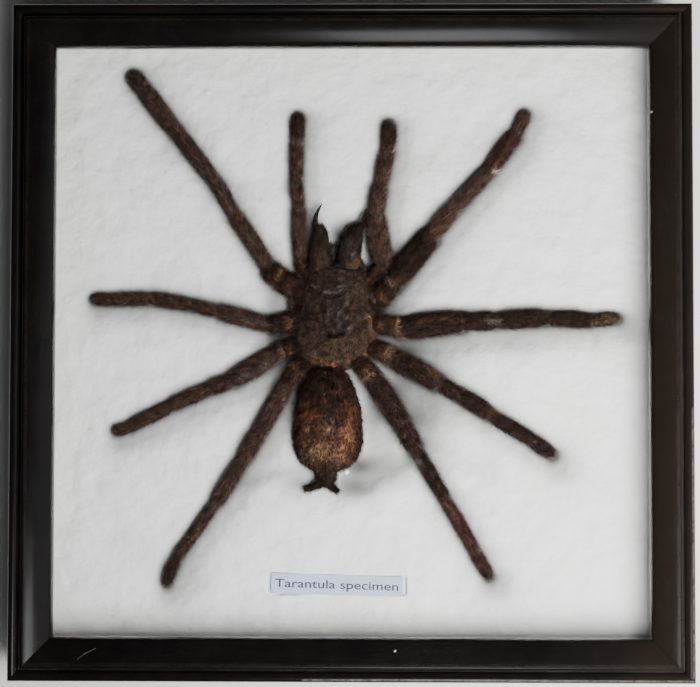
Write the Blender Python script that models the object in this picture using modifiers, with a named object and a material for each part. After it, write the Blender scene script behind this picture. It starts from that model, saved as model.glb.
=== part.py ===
"""Framed tarantula specimen: a dried spider on a felted pad, behind glass in a black mitred moulding.

Lengths are metres: MM turns the millimetre values below into metres. The frame lies on its back with its
front towards +Z and its top rail towards +Y, and the origin is at the middle of its footprint.
"""

import math

import bmesh
import bpy
import numpy as np
from mathutils import Matrix, Vector

MM = 0.001
GAP = 0.3 * MM  # between neighbouring pieces

# Frame, seen from the front. Heights are measured from its back.
FRAME_WIDTH = 203.0 * MM
FRAME_HEIGHT = 201.5 * MM
CROWN_TOP = 32.0 * MM
RAIL_WIDTH = 13.2 * MM  # outer face to sight edge
RABBET_AT = 8.0 * MM  # outer face to the wall behind the lip
LIP_UNDERSIDE = 27.0 * MM
BACK_CHAMFER = 0.6 * MM
BEAD_RADIUS = 1.7 * MM
BEAD_CENTRE_HEIGHT = 29.0 * MM
CREST_AT = 5.3 * MM  # outer face to the highest line of the crown
SHOULDER_RADIUS = 1.5 * MM  # outer side of the crest
CROWN_RADIUS = 17.7 * MM  # broad slope from the crest inwards
NOSE_AT = 11.8 * MM  # outer face to where the slope rounds over into the sight edge
MITRE_SETBACK = GAP / math.sqrt(2.0)

# What the rabbet holds, from the back forwards.
BACK_RECESS = 4.0 * MM
BOARD_THICKNESS = 2.5 * MM
PAD_TOP = 14.5 * MM
GLASS_THICKNESS = 2.0 * MM
GLASS_TOP = LIP_UNDERSIDE - 0.4 * MM
SPACER_THICKNESS = 2.0 * MM
RABBET_HALF_WIDTH = FRAME_WIDTH / 2 - RABBET_AT
RABBET_HALF_HEIGHT = FRAME_HEIGHT / 2 - RABBET_AT
BOARD_TOP = BACK_RECESS + BOARD_THICKNESS

# Steel points over the back board, and the hanger riveted to it.
POINT_WIDTH = 5.0 * MM
POINT_LENGTH = 8.0 * MM
POINT_IN_WOOD = 2.5 * MM
POINT_THICKNESS = 0.5 * MM
POINT_OFFSET = 48.0 * MM  # from the middle of a rail
POINT_MIDDLE = BACK_RECESS - GAP - POINT_THICKNESS / 2
HANGER_LENGTH = 40.0 * MM
HANGER_HEIGHT = 9.0 * MM
HANGER_THICKNESS = 0.7 * MM
HANGER_STEP = 1.9 * MM  # how far its toothed middle stands off the board
HANGER_FOOT = 8.0 * MM  # length of each flat end
HANGER_TEETH = 9
HANGER_TOOTH = 1.8 * MM
HANGER_FROM_CENTRE = 66.0 * MM
RIVET_RADIUS = 1.9 * MM
RIVET_THICKNESS = 0.7 * MM

# Paper label and the pin with the white head.
LABEL_SIZE = Vector((40.0, 6.1, 0.25)) * MM
LABEL_CENTRE = Vector((-4.3, -73.6)) * MM
LABEL_TILT = math.radians(-1.7)
PIN_AT = Vector((-1.4, -39.3)) * MM
PIN_HEAD_RADIUS = 0.85 * MM
PIN_SHAFT_RADIUS = 0.3 * MM
PIN_TOP = 18.6 * MM
PIN_POINT = 9.5 * MM

# Hollow that the body presses into the pad: an ellipsoid whose lowest point lies inside the pad.
HOLLOW_CENTRE = Vector((-6.2, -10.0, 24.0)) * MM
HOLLOW_RADII = Vector((18.0, 66.0, 12.4)) * MM

# Front body. Stations run from its rear (-1) to its front (+1): half width, then rise above the widest line.
CARAPACE_CENTRE = Vector((-4.8, 7.4, 17.4)) * MM
CARAPACE_HALF_LENGTH = 15.0 * MM
CARAPACE_STATIONS = (-1.0, -0.97, -0.85, -0.6, -0.2, 0.2, 0.6, 0.97, 1.0)
CARAPACE_HALF_WIDTHS = (0.0, 5.4, 8.4, 10.9, 12.0, 11.5, 9.9, 8.1, 0.0)
CARAPACE_RISES = (0.0, 1.6, 2.8, 3.7, 4.1, 4.5, 5.0, 3.9, 0.0)
CARAPACE_DEPTH = 3.4  # below the widest line, in millimetres
# Pit and eye mound: station, reach along as a share of the half length, then reach across and height in millimetres.
CARAPACE_FORMS = (
    (-0.36, 0.14, 2.6, -0.9),
    (0.55, 0.16, 2.4, 0.8),
)

ABDOMEN_CENTRE = Vector((-7.1, -23.6, 17.6)) * MM
ABDOMEN_HALF_LENGTH = 15.6 * MM
ABDOMEN_STATIONS = (-1.0, -0.97, -0.85, -0.6, -0.3, 0.1, 0.5, 0.8, 0.97, 1.0)
ABDOMEN_HALF_WIDTHS = (0.0, 4.6, 7.8, 10.0, 10.6, 10.0, 8.7, 6.9, 4.2, 0.0)
ABDOMEN_RISES = (0.0, 1.9, 3.6, 4.8, 5.2, 5.1, 4.7, 3.9, 2.2, 0.0)
ABDOMEN_DEPTH = 4.9
SPINNERET_ROOT = Vector((-7.6, -40.2, 17.1)) * MM
SPINNERET_ROOT_RADII = Vector((3.6, 4.4, 2.3)) * MM
SPINNERETS = (  # from root to tip, with the width at each point
    ((-8.6, -42.6, 16.4), (-11.6, -44.0, 16.2), (-14.8, -45.0, 16.0)),
    ((-6.9, -42.6, 16.4), (-5.4, -44.4, 16.2), (-3.4, -45.6, 16.0)),
)
SPINNERET_WIDTHS = (2.6, 2.1, 1.3)

# Chelicerae: middle of the lobe, half length and heading, with the fang's centre line beyond it.
CHELICERAE = {
    "chelicera_left": {
        "centre": (-9.1, 28.6, 18.4),
        "half_length": 6.6,
        "heading": 91.0,
        "fang": ((-9.9, 31.5, 18.3), (-11.2, 36.4, 18.0), (-10.6, 39.8, 17.4), (-8.9, 42.3, 16.8)),
    },
    "chelicera_right": {
        "centre": (-0.6, 28.9, 18.4),
        "half_length": 6.8,
        "heading": 80.0,
        "fang": ((1.0, 31.0, 18.3), (2.9, 35.6, 18.0), (3.7, 38.6, 17.4), (4.7, 41.2, 16.8)),
    },
}
CHELICERA_STATIONS = (-1.0, -0.95, -0.5, 0.1, 0.6, 0.93, 1.0)
CHELICERA_HALF_WIDTHS = (0.0, 2.8, 3.2, 3.0, 2.5, 1.6, 0.0)
CHELICERA_RISES = (0.0, 2.6, 3.3, 3.2, 2.7, 1.7, 0.0)
FANG_WIDTHS = (2.8, 2.0, 1.3, 0.5)

# Limbs, in millimetres and degrees. A limb starts at its hip, given from the middle of the carapace. Its joints
# follow from the body outwards, each with its length, its heading anticlockwise from +X, and its width.
# Legs: coxa, trochanter, femur, patella, tibia, metatarsus, tarsus. Pedipalps have no metatarsus.
LEG_HEIGHTS = (18.0, 18.5, 18.5, 19.6, 19.6, 18.6, 18.0, 17.6)
PALP_HEIGHTS = (17.0, 17.3, 17.6, 18.8, 18.8, 18.2, 17.8)
LIMBS = {
    "leg_1_left": {
        "hip": (-11.0, 8.3),
        "lengths": (7.0, 3.5, 20.0, 11.0, 21.5, 15.5, 7.5),
        "headings": (149, 137, 123, 120, 128, 128, 127),
        "widths": (7.0, 6.9, 5.9, 5.1, 6.0, 6.0, 5.7),
    },
    "leg_1_right": {
        "hip": (11.8, 4.6),
        "lengths": (6.0, 2.0, 18.0, 10.5, 16.5, 13.5, 9.5),
        "headings": (50, 50, 51, 50, 48, 52, 67),
        "widths": (6.4, 6.4, 6.9, 6.0, 5.9, 5.8, 4.8),
    },
    "leg_2_left": {
        "hip": (-12.0, -1.1),
        "lengths": (5.5, 2.0, 16.5, 8.5, 12.5, 12.5, 7.0),
        "headings": (-165, 177, 166, 166, 171, -178, 177),
        "widths": (6.2, 5.9, 5.7, 5.0, 5.2, 4.8, 4.6),
    },
    "leg_2_right": {
        "hip": (12.2, -2.1),
        "lengths": (5.5, 2.0, 18.5, 10.5, 15.5, 13.5, 9.0),
        "headings": (-6, -17, 6, 3, 2, -2, 4),
        "widths": (6.2, 6.8, 6.6, 5.7, 6.0, 5.5, 5.2),
    },
    "leg_3_left": {
        "hip": (-11.6, -9.2),
        "lengths": (4.0, 1.5, 16.5, 7.0, 13.0, 15.5, 4.5),
        "headings": (-170, -154, -149, -160, -157, -153, -163),
        "widths": (5.4, 5.6, 6.0, 5.6, 5.3, 4.9, 4.1),
    },
    "leg_3_right": {
        "hip": (11.0, -9.4),
        "lengths": (4.5, 1.5, 16.0, 7.5, 11.0, 15.5, 7.5),
        "headings": (-18, -39, -29, -29, -32, -32, -35),
        "widths": (6.0, 6.6, 6.8, 5.5, 5.6, 5.0, 4.9),
    },
    "leg_4_left": {
        "hip": (-10.0, -14.2),
        "lengths": (3.5, 2.0, 19.0, 9.0, 15.5, 21.0, 10.0),
        "headings": (-128, -128, -120, -120, -123, -125, -113),
        "widths": (5.4, 5.6, 5.5, 5.6, 5.1, 4.3, 4.4),
    },
    "leg_4_right": {
        "hip": (6.7, -13.2),
        "lengths": (4.5, 2.0, 16.5, 8.0, 18.0, 19.0, 9.0),
        "headings": (-51, -48, -57, -61, -60, -60, -61),
        "widths": (6.0, 6.5, 6.3, 5.7, 4.4, 4.3, 4.3),
    },
    "pedipalp_left": {
        "hip": (-6.5, 13.2),
        "lengths": (3.5, 2.0, 17.0, 9.0, 11.5, 10.5),
        "headings": (158, 117, 92, 95, 89, 88),
        "widths": (3.6, 4.2, 5.0, 4.5, 4.6, 5.1),
    },
    "pedipalp_right": {
        "hip": (8.5, 10.0),
        "lengths": (7.0, 1.5, 15.0, 9.0, 12.0, 10.0),
        "headings": (45, 45, 100, 80, 78, 88),
        "widths": (3.6, 4.4, 5.2, 5.2, 5.2, 5.2),
    },
}
# Shape of one joint: where each of its rings lies along it, and how wide the ring is. The first joint starts
# inside the body, and the last one is rounded off.
JOINT_RINGS = ((0.07, 0.84), (0.3, 1.0), (0.62, 1.0), (0.92, 0.88))
SHORT_JOINT = 4.5  # millimetres: a joint up to this long has fewer rings
SHORT_JOINT_RINGS = ((0.15, 0.92), (0.8, 1.0))
ROOT_REACH = 2.6  # millimetres from the hip back into the body
ROOT_DROP = 1.0 * MM  # the root dives under the rim
ROOT_SHARE = 0.62
LIMB_TIP = ((0.88, 0.9), (0.97, 0.66), (1.0, 0.3))


def clear_scene():
    for obj in list(bpy.data.objects):
        bpy.data.objects.remove(obj)


def add_collection(name):
    collection = bpy.data.collections.new(name)
    bpy.context.scene.collection.children.link(collection)
    return collection


def make_material(name, colour, roughness, metallic=0.0, transmission=0.0):
    material = bpy.data.materials.new(name)
    material.use_nodes = True
    shader = material.node_tree.nodes["Principled BSDF"]
    shader.inputs["Base Color"].default_value = (*colour, 1.0)
    shader.inputs["Roughness"].default_value = roughness
    shader.inputs["Metallic"].default_value = metallic
    shader.inputs["Transmission Weight"].default_value = transmission
    material.diffuse_color = (*colour, 1.0)
    return material


def add_object(name, data, material):
    obj = bpy.data.objects.new(name, data)
    parts.objects.link(obj)
    data.materials.append(material)
    return obj


def make_cutter(obj):
    """Turns an object into a helper that only shapes others."""
    parts.objects.unlink(obj)
    cutters.objects.link(obj)
    obj.hide_render = True
    obj.display_type = "WIRE"
    return obj


def finished(shape, name):
    """Moves a bmesh into a new mesh."""
    mesh = bpy.data.meshes.new(name)
    shape.to_mesh(mesh)
    shape.free()
    return mesh


def add_ball(name, radii, centre, rings, material):
    shape = bmesh.new()
    bmesh.ops.create_uvsphere(shape, u_segments=rings + rings // 3, v_segments=rings, radius=1.0)
    bmesh.ops.scale(shape, vec=radii, verts=shape.verts)
    ball = add_object(name, finished(shape, name), material)
    ball.location = centre
    return ball


def add_boolean(obj, other, operation):
    modifier = obj.modifiers.new(other.name, "BOOLEAN")
    modifier.object = other
    modifier.operation = operation
    modifier.solver = "EXACT"


def add_box(name, size, centre, material, bevel=0.0):
    shape = bmesh.new()
    bmesh.ops.create_cube(shape, size=1.0, matrix=Matrix.Diagonal((*size, 1.0)))
    obj = add_object(name, finished(shape, name), material)
    obj.location = centre
    if bevel:
        modifier = obj.modifiers.new("edges", "BEVEL")
        modifier.width = bevel
        modifier.segments = 2
    return obj


def as_mesh(obj):
    """Makes a curve a mesh with its caps welded on, so that it can be cut or joined."""
    bpy.context.view_layer.update()
    graph = bpy.context.evaluated_depsgraph_get()
    mesh = bpy.data.meshes.new_from_object(obj.evaluated_get(graph))
    shape = bmesh.new()
    shape.from_mesh(mesh)
    bmesh.ops.remove_doubles(shape, verts=shape.verts, dist=0.01 * MM)
    shape.to_mesh(mesh)
    shape.free()
    name, matrix, curve = obj.name, obj.matrix_world.copy(), obj.data
    bpy.data.objects.remove(obj)
    bpy.data.curves.remove(curve)
    made = bpy.data.objects.new(name, mesh)
    parts.objects.link(made)
    made.matrix_world = matrix
    return made


def add_plate(name, outline, thickness, material):
    """A flat outline in the XY plane, with half its thickness on each side of it."""
    curve = bpy.data.curves.new(name, "CURVE")
    curve.dimensions = "2D"
    curve.fill_mode = "BOTH"
    curve.extrude = thickness / 2
    spline = curve.splines.new("POLY")
    spline.points.add(len(outline) - 1)
    for point, (x, y) in zip(spline.points, outline):
        point.co = (x, y, 0.0, 1.0)
    spline.use_cyclic_u = True
    return as_mesh(add_object(name, curve, material))


def add_tube(name, points, radii, material):
    """A closed round tube through the points, with its own radius at each of them."""
    curve = bpy.data.curves.new(name, "CURVE")
    curve.dimensions = "3D"
    curve.bevel_depth = 1.0
    curve.bevel_resolution = 3
    curve.use_fill_caps = True
    spline = curve.splines.new("POLY")
    spline.points.add(len(points) - 1)
    for point, place, radius in zip(spline.points, points, radii):
        point.co = (*place, 1.0)
        point.radius = radius
    tube = as_mesh(add_object(name, curve, material))
    shade_round(tube)
    return tube


def shade_round(obj):
    obj.data.shade_smooth()
    obj.data.set_sharp_from_angle(angle=math.radians(50.0))


def add_body(name, half_length, stations, half_widths, rises, depth, material, grow=0.0, rings=14):
    """A rounded body along Y: a ball whose rings take their width and their rise from the stations."""
    shape = bmesh.new()
    bmesh.ops.create_uvsphere(shape, u_segments=rings + 6, v_segments=rings, radius=1.0)
    for vertex in shape.verts:
        across, up, station = vertex.co.x, -vertex.co.y, vertex.co.z
        ring = max(math.hypot(across, up), 1e-6)
        half_width = float(np.interp(station, stations, half_widths)) * MM
        rise = float(np.interp(station, stations, rises)) * MM
        fullness = half_width / (max(half_widths) * MM)
        height = rise if up > 0.0 else depth * MM * math.sqrt(fullness)
        open_ring = half_width > 0.0
        vertex.co.x = across / ring * (half_width + grow) if open_ring else 0.0
        vertex.co.y = station * (half_length + grow)
        vertex.co.z = up / ring * (height + grow) if open_ring else 0.0
    obj = add_object(name, finished(shape, name), material)
    shade_round(obj)
    return obj


def arc(centre, radius, start, end, steps):
    """Points on an arc between two angles in degrees, both ends included."""
    angles = [math.radians(start + (end - start) * step / steps) for step in range(steps + 1)]
    return [(centre[0] + radius * math.cos(a), centre[1] + radius * math.sin(a)) for a in angles]


def moulding_profile():
    """The rail's section, as points of distance in from the outer face and height from the back."""
    sine = (NOSE_AT - CREST_AT) / CROWN_RADIUS
    cosine = math.sqrt(1.0 - sine * sine)
    slope = math.degrees(math.asin(sine))
    nose_radius = (RAIL_WIDTH - NOSE_AT) / (1.0 - sine)
    nose_height = CROWN_TOP - CROWN_RADIUS * (1.0 - cosine) - nose_radius * cosine
    profile = [(BACK_CHAMFER, 0.0), (0.0, BACK_CHAMFER)]
    profile += arc((BEAD_RADIUS, BEAD_CENTRE_HEIGHT), BEAD_RADIUS, 180.0, 20.0, 5)
    profile += [(CREST_AT - SHOULDER_RADIUS, BEAD_CENTRE_HEIGHT + 0.3 * BEAD_RADIUS)]
    profile += arc((CREST_AT, CROWN_TOP - SHOULDER_RADIUS), SHOULDER_RADIUS, 180.0, 90.0, 3)
    profile += arc((CREST_AT, CROWN_TOP - CROWN_RADIUS), CROWN_RADIUS, 90.0, 90.0 - slope, 4)[1:]
    profile += arc((RAIL_WIDTH - nose_radius, nose_height), nose_radius, 90.0 - slope, 0.0, 3)[1:]
    profile += [(RAIL_WIDTH, LIP_UNDERSIDE)]
    profile += [(RABBET_AT, LIP_UNDERSIDE), (RABBET_AT, BACK_CHAMFER), (RABBET_AT - BACK_CHAMFER, 0.0)]
    return profile


def rail_matrix(turn, distance):
    """Stands a section on the frame: its x points inwards, its y forwards and its z along the rail."""
    inwards = Matrix(((0, 0, 1, 0), (1, 0, 0, 0), (0, 1, 0, 0), (0, 0, 0, 1)))
    return Matrix.Rotation(turn, 4, "Z") @ Matrix.Translation((0.0, -distance, 0.0)) @ inwards


RAILS = {
    "frame_rail_bottom": (0.0, FRAME_WIDTH, FRAME_HEIGHT / 2),
    "frame_rail_right": (math.pi / 2, FRAME_HEIGHT, FRAME_WIDTH / 2),
    "frame_rail_top": (math.pi, FRAME_WIDTH, FRAME_HEIGHT / 2),
    "frame_rail_left": (-math.pi / 2, FRAME_HEIGHT, FRAME_WIDTH / 2),
}


def add_rail(name, turn, length, distance):
    """A length of moulding whose ends are mitred by sliding each section point back by its own depth."""
    rail = add_plate(name, moulding_profile(), length, lacquer)
    for vertex in rail.data.vertices:
        end = length / 2 - vertex.co.x - MITRE_SETBACK
        vertex.co.z = math.copysign(end, vertex.co.z)
    rail.matrix_world = rail_matrix(turn, distance)
    return rail


def add_rail_points(rail, turn, distance, first):
    """Two flat steel points in slots of the rail, over the back board."""
    half, tip = POINT_WIDTH / 2, POINT_IN_WOOD / 2
    outline = [(-POINT_IN_WOOD, 0.0), (-tip, -half), (POINT_LENGTH - POINT_IN_WOOD, -half)]
    outline += [(POINT_LENGTH - POINT_IN_WOOD, half), (-tip, half)]
    slot_size = (POINT_IN_WOOD * 2 + GAP * 2, POINT_WIDTH + GAP * 2, POINT_THICKNESS + GAP * 2)
    for index, along in enumerate((-POINT_OFFSET, POINT_OFFSET)):
        at = Matrix.Rotation(turn, 4, "Z") @ Vector((along, RABBET_AT - distance, POINT_MIDDLE))
        turned = Matrix.Translation(at) @ Matrix.Rotation(turn + math.pi / 2, 4, "Z")
        point = add_plate(f"board_point_{first + index}", outline, POINT_THICKNESS, steel)
        point.matrix_world = turned
        slot = make_cutter(add_box(f"slot_{first + index}", slot_size, (0, 0, 0), steel))
        slot.matrix_world = turned
        add_boolean(rail, slot, "DIFFERENCE")


def add_frame():
    for number, (name, (turn, length, distance)) in enumerate(RAILS.items()):
        rail = add_rail(name, turn, length, distance)
        add_rail_points(rail, turn, distance, 2 * number + 1)


def add_glazing():
    width, height = 2 * (RABBET_HALF_WIDTH - GAP), 2 * (RABBET_HALF_HEIGHT - GAP)
    middle = GLASS_TOP - GLASS_THICKNESS / 2
    add_box("glass_pane", (width, height, GLASS_THICKNESS), (0, 0, middle), glass, bevel=0.2 * MM)
    middle = BACK_RECESS + BOARD_THICKNESS / 2
    add_box("back_board", (width, height, BOARD_THICKNESS), (0, 0, middle), hardboard)

    low, high = BOARD_TOP + GAP, GLASS_TOP - GLASS_THICKNESS - GAP
    tall, middle = high - low, (high + low) / 2
    from_middle = RABBET_HALF_WIDTH - GAP - SPACER_THICKNESS / 2
    for side, name in ((-1, "spacer_left"), (1, "spacer_right")):
        add_box(name, (SPACER_THICKNESS, height, tall), (side * from_middle, 0, middle), card)
    from_middle = RABBET_HALF_HEIGHT - GAP - SPACER_THICKNESS / 2
    between = width - 2 * (SPACER_THICKNESS + GAP)
    for side, name in ((-1, "spacer_bottom"), (1, "spacer_top")):
        add_box(name, (between, SPACER_THICKNESS, tall), (0, side * from_middle, middle), card)


def add_pad():
    """The felted pad, with the hollow under the body and the pin's hole."""
    edge = SPACER_THICKNESS + 2 * GAP
    low = BOARD_TOP + GAP
    size = (2 * (RABBET_HALF_WIDTH - edge), 2 * (RABBET_HALF_HEIGHT - edge), PAD_TOP - low)
    pad = add_box("backing_pad", size, (0, 0, (PAD_TOP + low) / 2), felt)

    hollow = make_cutter(add_ball("hollow", HOLLOW_RADII, HOLLOW_CENTRE, 24, felt))
    add_boolean(pad, hollow, "DIFFERENCE")

    hole_width = 2 * (PIN_SHAFT_RADIUS + GAP)
    hole_depth = PAD_TOP - PIN_POINT + GAP
    hole = add_box("pin_hole", (hole_width, hole_width, hole_depth * 2), (*PIN_AT, PAD_TOP), felt)
    add_boolean(pad, make_cutter(hole), "DIFFERENCE")


def add_hanger():
    """A strip with two flat feet on the board and a raised middle with teeth along its lower edge."""
    foot_top = BACK_RECESS - GAP - HANGER_THICKNESS / 2
    half, bend = HANGER_LENGTH / 2, HANGER_STEP
    inner = half - HANGER_FOOT
    middle_line = [(-half, 0.0), (-inner, 0.0), (-inner + bend, -bend)]
    middle_line += [(-x, y) for x, y in reversed(middle_line)]
    thickness = HANGER_THICKNESS / 2
    outline = [(x, y - thickness) for x, y in middle_line]
    outline += [(x, y + thickness) for x, y in reversed(middle_line)]
    hanger = add_plate("hanger", outline, HANGER_HEIGHT, steel)
    upright = Matrix.Rotation(math.pi / 2, 4, "X")
    hanger.matrix_world = Matrix.Translation((0, HANGER_FROM_CENTRE, foot_top)) @ upright

    edge = inner - bend
    pitch = 2 * edge / HANGER_TEETH
    valley, peak = -HANGER_HEIGHT / 2 + HANGER_TOOTH / 4, -HANGER_HEIGHT / 2 + HANGER_TOOTH
    teeth = [(-edge, -HANGER_HEIGHT), (edge, -HANGER_HEIGHT), (edge, valley)]
    for tooth in range(HANGER_TEETH, 0, -1):
        left = -edge + (tooth - 1) * pitch
        teeth += [(left + pitch / 2, peak), (left, valley)]
    cutter = make_cutter(add_plate("hanger_teeth", teeth, 2 * HANGER_STEP, steel))
    cutter.location = (0, HANGER_FROM_CENTRE, foot_top - HANGER_STEP)
    add_boolean(hanger, cutter, "DIFFERENCE")

    rivet_middle = foot_top - HANGER_THICKNESS / 2 - GAP - RIVET_THICKNESS / 2
    for side, name in ((-1, "hanger_rivet_left"), (1, "hanger_rivet_right")):
        rivet = add_rivet(name)
        rivet.location = (side * (half - HANGER_FOOT / 2), HANGER_FROM_CENTRE, rivet_middle)


def add_rivet(name):
    """A low round head, smaller on its outer side."""
    sizes = {"radius1": RIVET_RADIUS * 0.7, "radius2": RIVET_RADIUS, "depth": RIVET_THICKNESS}
    shape = bmesh.new()
    bmesh.ops.create_cone(shape, cap_ends=True, segments=16, **sizes)
    return add_object(name, finished(shape, name), steel)


def add_label():
    centre = (*LABEL_CENTRE, PAD_TOP + GAP + LABEL_SIZE.z / 2)
    label = add_box("specimen_label", LABEL_SIZE, centre, paper)
    label.rotation_euler.z = LABEL_TILT


def add_pin():
    """A turned pin: round head, straight shaft and a point in the pad."""
    head_centre = PIN_TOP - PIN_HEAD_RADIUS
    neck = math.degrees(math.asin(PIN_SHAFT_RADIUS / PIN_HEAD_RADIUS))
    profile = arc((0.0, head_centre), PIN_HEAD_RADIUS, 90.0, -90.0 + neck, 8)
    profile += [(PIN_SHAFT_RADIUS, PIN_POINT + 4 * PIN_SHAFT_RADIUS), (0.0, PIN_POINT)]
    profile[0] = (0.0, PIN_TOP)
    mesh = bpy.data.meshes.new("pin")
    mesh.from_pydata([(x, 0.0, z) for x, z in profile], [(i, i + 1) for i in range(len(profile) - 1)], [])
    pin = add_object("pin", mesh, enamel)
    pin.location = (*PIN_AT, 0.0)
    turn = pin.modifiers.new("turn", "SCREW")
    turn.steps = turn.render_steps = 10
    turn.use_merge_vertices = True
    turn.merge_threshold = 0.01 * MM
    turn.use_smooth_shade = True


def shape_carapace(obj):
    """Presses the pit into the back and raises the mound that carries the eyes."""
    for vertex in obj.data.vertices:
        if vertex.co.z <= 0.0:
            continue
        for station, along, across, height in CARAPACE_FORMS:
            forward = (vertex.co.y / CARAPACE_HALF_LENGTH - station) / along
            sideways = vertex.co.x / MM / across
            vertex.co.z += height * MM * math.exp(-forward * forward - sideways * sideways)


def add_carapace():
    sizes = (CARAPACE_HALF_LENGTH, CARAPACE_STATIONS, CARAPACE_HALF_WIDTHS, CARAPACE_RISES, CARAPACE_DEPTH)
    carapace = add_body("carapace", *sizes, chitin)
    carapace.location = CARAPACE_CENTRE
    shape_carapace(carapace)
    room = make_cutter(add_body("carapace_room", *sizes, chitin, grow=GAP))
    room.location = CARAPACE_CENTRE
    return room


def add_abdomen():
    """The abdomen with its spinnerets, and the room that the nearest limbs leave for it."""
    sizes = (ABDOMEN_HALF_LENGTH, ABDOMEN_STATIONS, ABDOMEN_HALF_WIDTHS, ABDOMEN_RISES, ABDOMEN_DEPTH)
    abdomen = add_body("abdomen", *sizes, hide)
    abdomen.location = ABDOMEN_CENTRE
    root = add_ball("spinneret_root", SPINNERET_ROOT_RADII, SPINNERET_ROOT, 9, hide)
    add_boolean(abdomen, make_cutter(root), "UNION")
    for number, line in enumerate(SPINNERETS):
        points = [Vector(point) * MM for point in line]
        radii = [width / 2 * MM for width in SPINNERET_WIDTHS]
        finger = make_cutter(add_tube(f"spinneret_{number}", points, radii, hide))
        add_boolean(abdomen, finger, "UNION")
    room = make_cutter(add_body("abdomen_room", *sizes, hide, grow=GAP))
    room.location = ABDOMEN_CENTRE
    return room


def add_chelicera(name, centre, half_length, heading, fang, carapace_room):
    sizes = (half_length * MM, CHELICERA_STATIONS, CHELICERA_HALF_WIDTHS, CHELICERA_RISES, CHELICERA_RISES[3])
    chelicera = add_body(name, *sizes, chitin, rings=10)
    chelicera.location = Vector(centre) * MM
    chelicera.rotation_euler.z = math.radians(heading - 90.0)
    points = [Vector(point) * MM for point in fang]
    tube = add_tube(f"{name}_fang", points, [width / 2 * MM for width in FANG_WIDTHS], horn)
    add_boolean(chelicera, make_cutter(tube), "UNION")
    add_boolean(chelicera, carapace_room, "DIFFERENCE")


def limb_line(limb, heights):
    """The limb's joints from hip to tip, in metres."""
    place = Vector((CARAPACE_CENTRE.x, CARAPACE_CENTRE.y)) + Vector(limb["hip"]) * MM
    joints = [Vector((*place, heights[0] * MM))]
    for length, heading, height in zip(limb["lengths"], limb["headings"], heights[1:]):
        angle = math.radians(heading)
        place = place + Vector((math.cos(angle), math.sin(angle))) * length * MM
        joints.append(Vector((*place, height * MM)))
    return joints


def add_limb(name, limb, heights, rooms):
    """A limb as one tube that swells along each of its joints and narrows between them."""
    joints = limb_line(limb, heights)
    points, radii = [], []
    last = len(limb["widths"]) - 1
    for index, (length, width) in enumerate(zip(limb["lengths"], limb["widths"])):
        rings = SHORT_JOINT_RINGS if length <= SHORT_JOINT else JOINT_RINGS
        if index == 0:
            root = joints[0].lerp(joints[1], -ROOT_REACH / length)
            points.append(root - Vector((0.0, 0.0, ROOT_DROP)))
            radii.append(width / 2 * ROOT_SHARE * MM)
        if index == last:
            rings = JOINT_RINGS[:-1] + LIMB_TIP
        for along, share in rings:
            points.append(joints[index].lerp(joints[index + 1], along))
            radii.append(width / 2 * share * MM)
    leg = add_tube(name, points, radii, bristle)
    for room in rooms:
        add_boolean(leg, room, "DIFFERENCE")


def add_specimen():
    carapace_room = add_carapace()
    abdomen_room = add_abdomen()
    for name, sizes in CHELICERAE.items():
        add_chelicera(name, **sizes, carapace_room=carapace_room)
    for name, limb in LIMBS.items():
        heights = LEG_HEIGHTS if name.startswith("leg") else PALP_HEIGHTS
        add_limb(name, limb, heights, [carapace_room, abdomen_room])


clear_scene()
parts = add_collection("framed_tarantula_specimen")
cutters = add_collection("cutters")

lacquer = make_material("black_lacquer", (0.012, 0.011, 0.010), 0.32)
glass = make_material("clear_glass", (1.0, 1.0, 1.0), 0.02, transmission=1.0)
card = make_material("white_card", (0.78, 0.78, 0.76), 0.8)
hardboard = make_material("brown_hardboard", (0.16, 0.09, 0.05), 0.75)
felt = make_material("white_felt", (0.70, 0.70, 0.70), 0.95)
steel = make_material("zinc_steel", (0.55, 0.55, 0.54), 0.35, metallic=1.0)
paper = make_material("label_paper", (0.66, 0.66, 0.74), 0.7)
enamel = make_material("white_enamel", (0.75, 0.76, 0.74), 0.3)
chitin = make_material("brown_chitin", (0.045, 0.028, 0.018), 0.55)
hide = make_material("abdomen_hide", (0.10, 0.045, 0.02), 0.7)
horn = make_material("black_horn", (0.008, 0.007, 0.007), 0.25)
bristle = make_material("brown_bristle", (0.05, 0.026, 0.017), 0.8)

add_frame()
add_glazing()
add_pad()
add_hanger()
add_label()
add_pin()
add_specimen()
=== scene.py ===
"""Looks of the framed tarantula specimen: a dried spider on a felted pad, behind glass in a black moulding.

Lengths are metres: MM turns the millimetre values below into metres. The frame lies on its back with its
front towards +Z and its top rail towards +Y, and the origin is at the middle of its footprint.
"""

import math

import bmesh
import bpy
import numpy as np
from mathutils import Euler, Matrix, Vector, noise


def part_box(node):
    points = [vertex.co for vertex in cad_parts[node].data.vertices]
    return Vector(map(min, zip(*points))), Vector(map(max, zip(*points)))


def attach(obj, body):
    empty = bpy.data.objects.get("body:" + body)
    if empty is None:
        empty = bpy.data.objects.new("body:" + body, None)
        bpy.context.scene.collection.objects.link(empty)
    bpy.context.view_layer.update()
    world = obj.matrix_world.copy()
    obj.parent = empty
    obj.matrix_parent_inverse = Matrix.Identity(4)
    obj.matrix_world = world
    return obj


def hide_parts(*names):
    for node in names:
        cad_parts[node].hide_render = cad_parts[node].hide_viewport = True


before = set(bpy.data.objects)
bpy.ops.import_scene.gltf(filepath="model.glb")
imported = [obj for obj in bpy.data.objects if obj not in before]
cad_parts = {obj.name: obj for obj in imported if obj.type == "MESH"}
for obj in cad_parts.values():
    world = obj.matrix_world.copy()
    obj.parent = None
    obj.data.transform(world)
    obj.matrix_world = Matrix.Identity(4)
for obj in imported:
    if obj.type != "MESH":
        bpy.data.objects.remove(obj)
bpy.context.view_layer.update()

MM = 0.001

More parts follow.
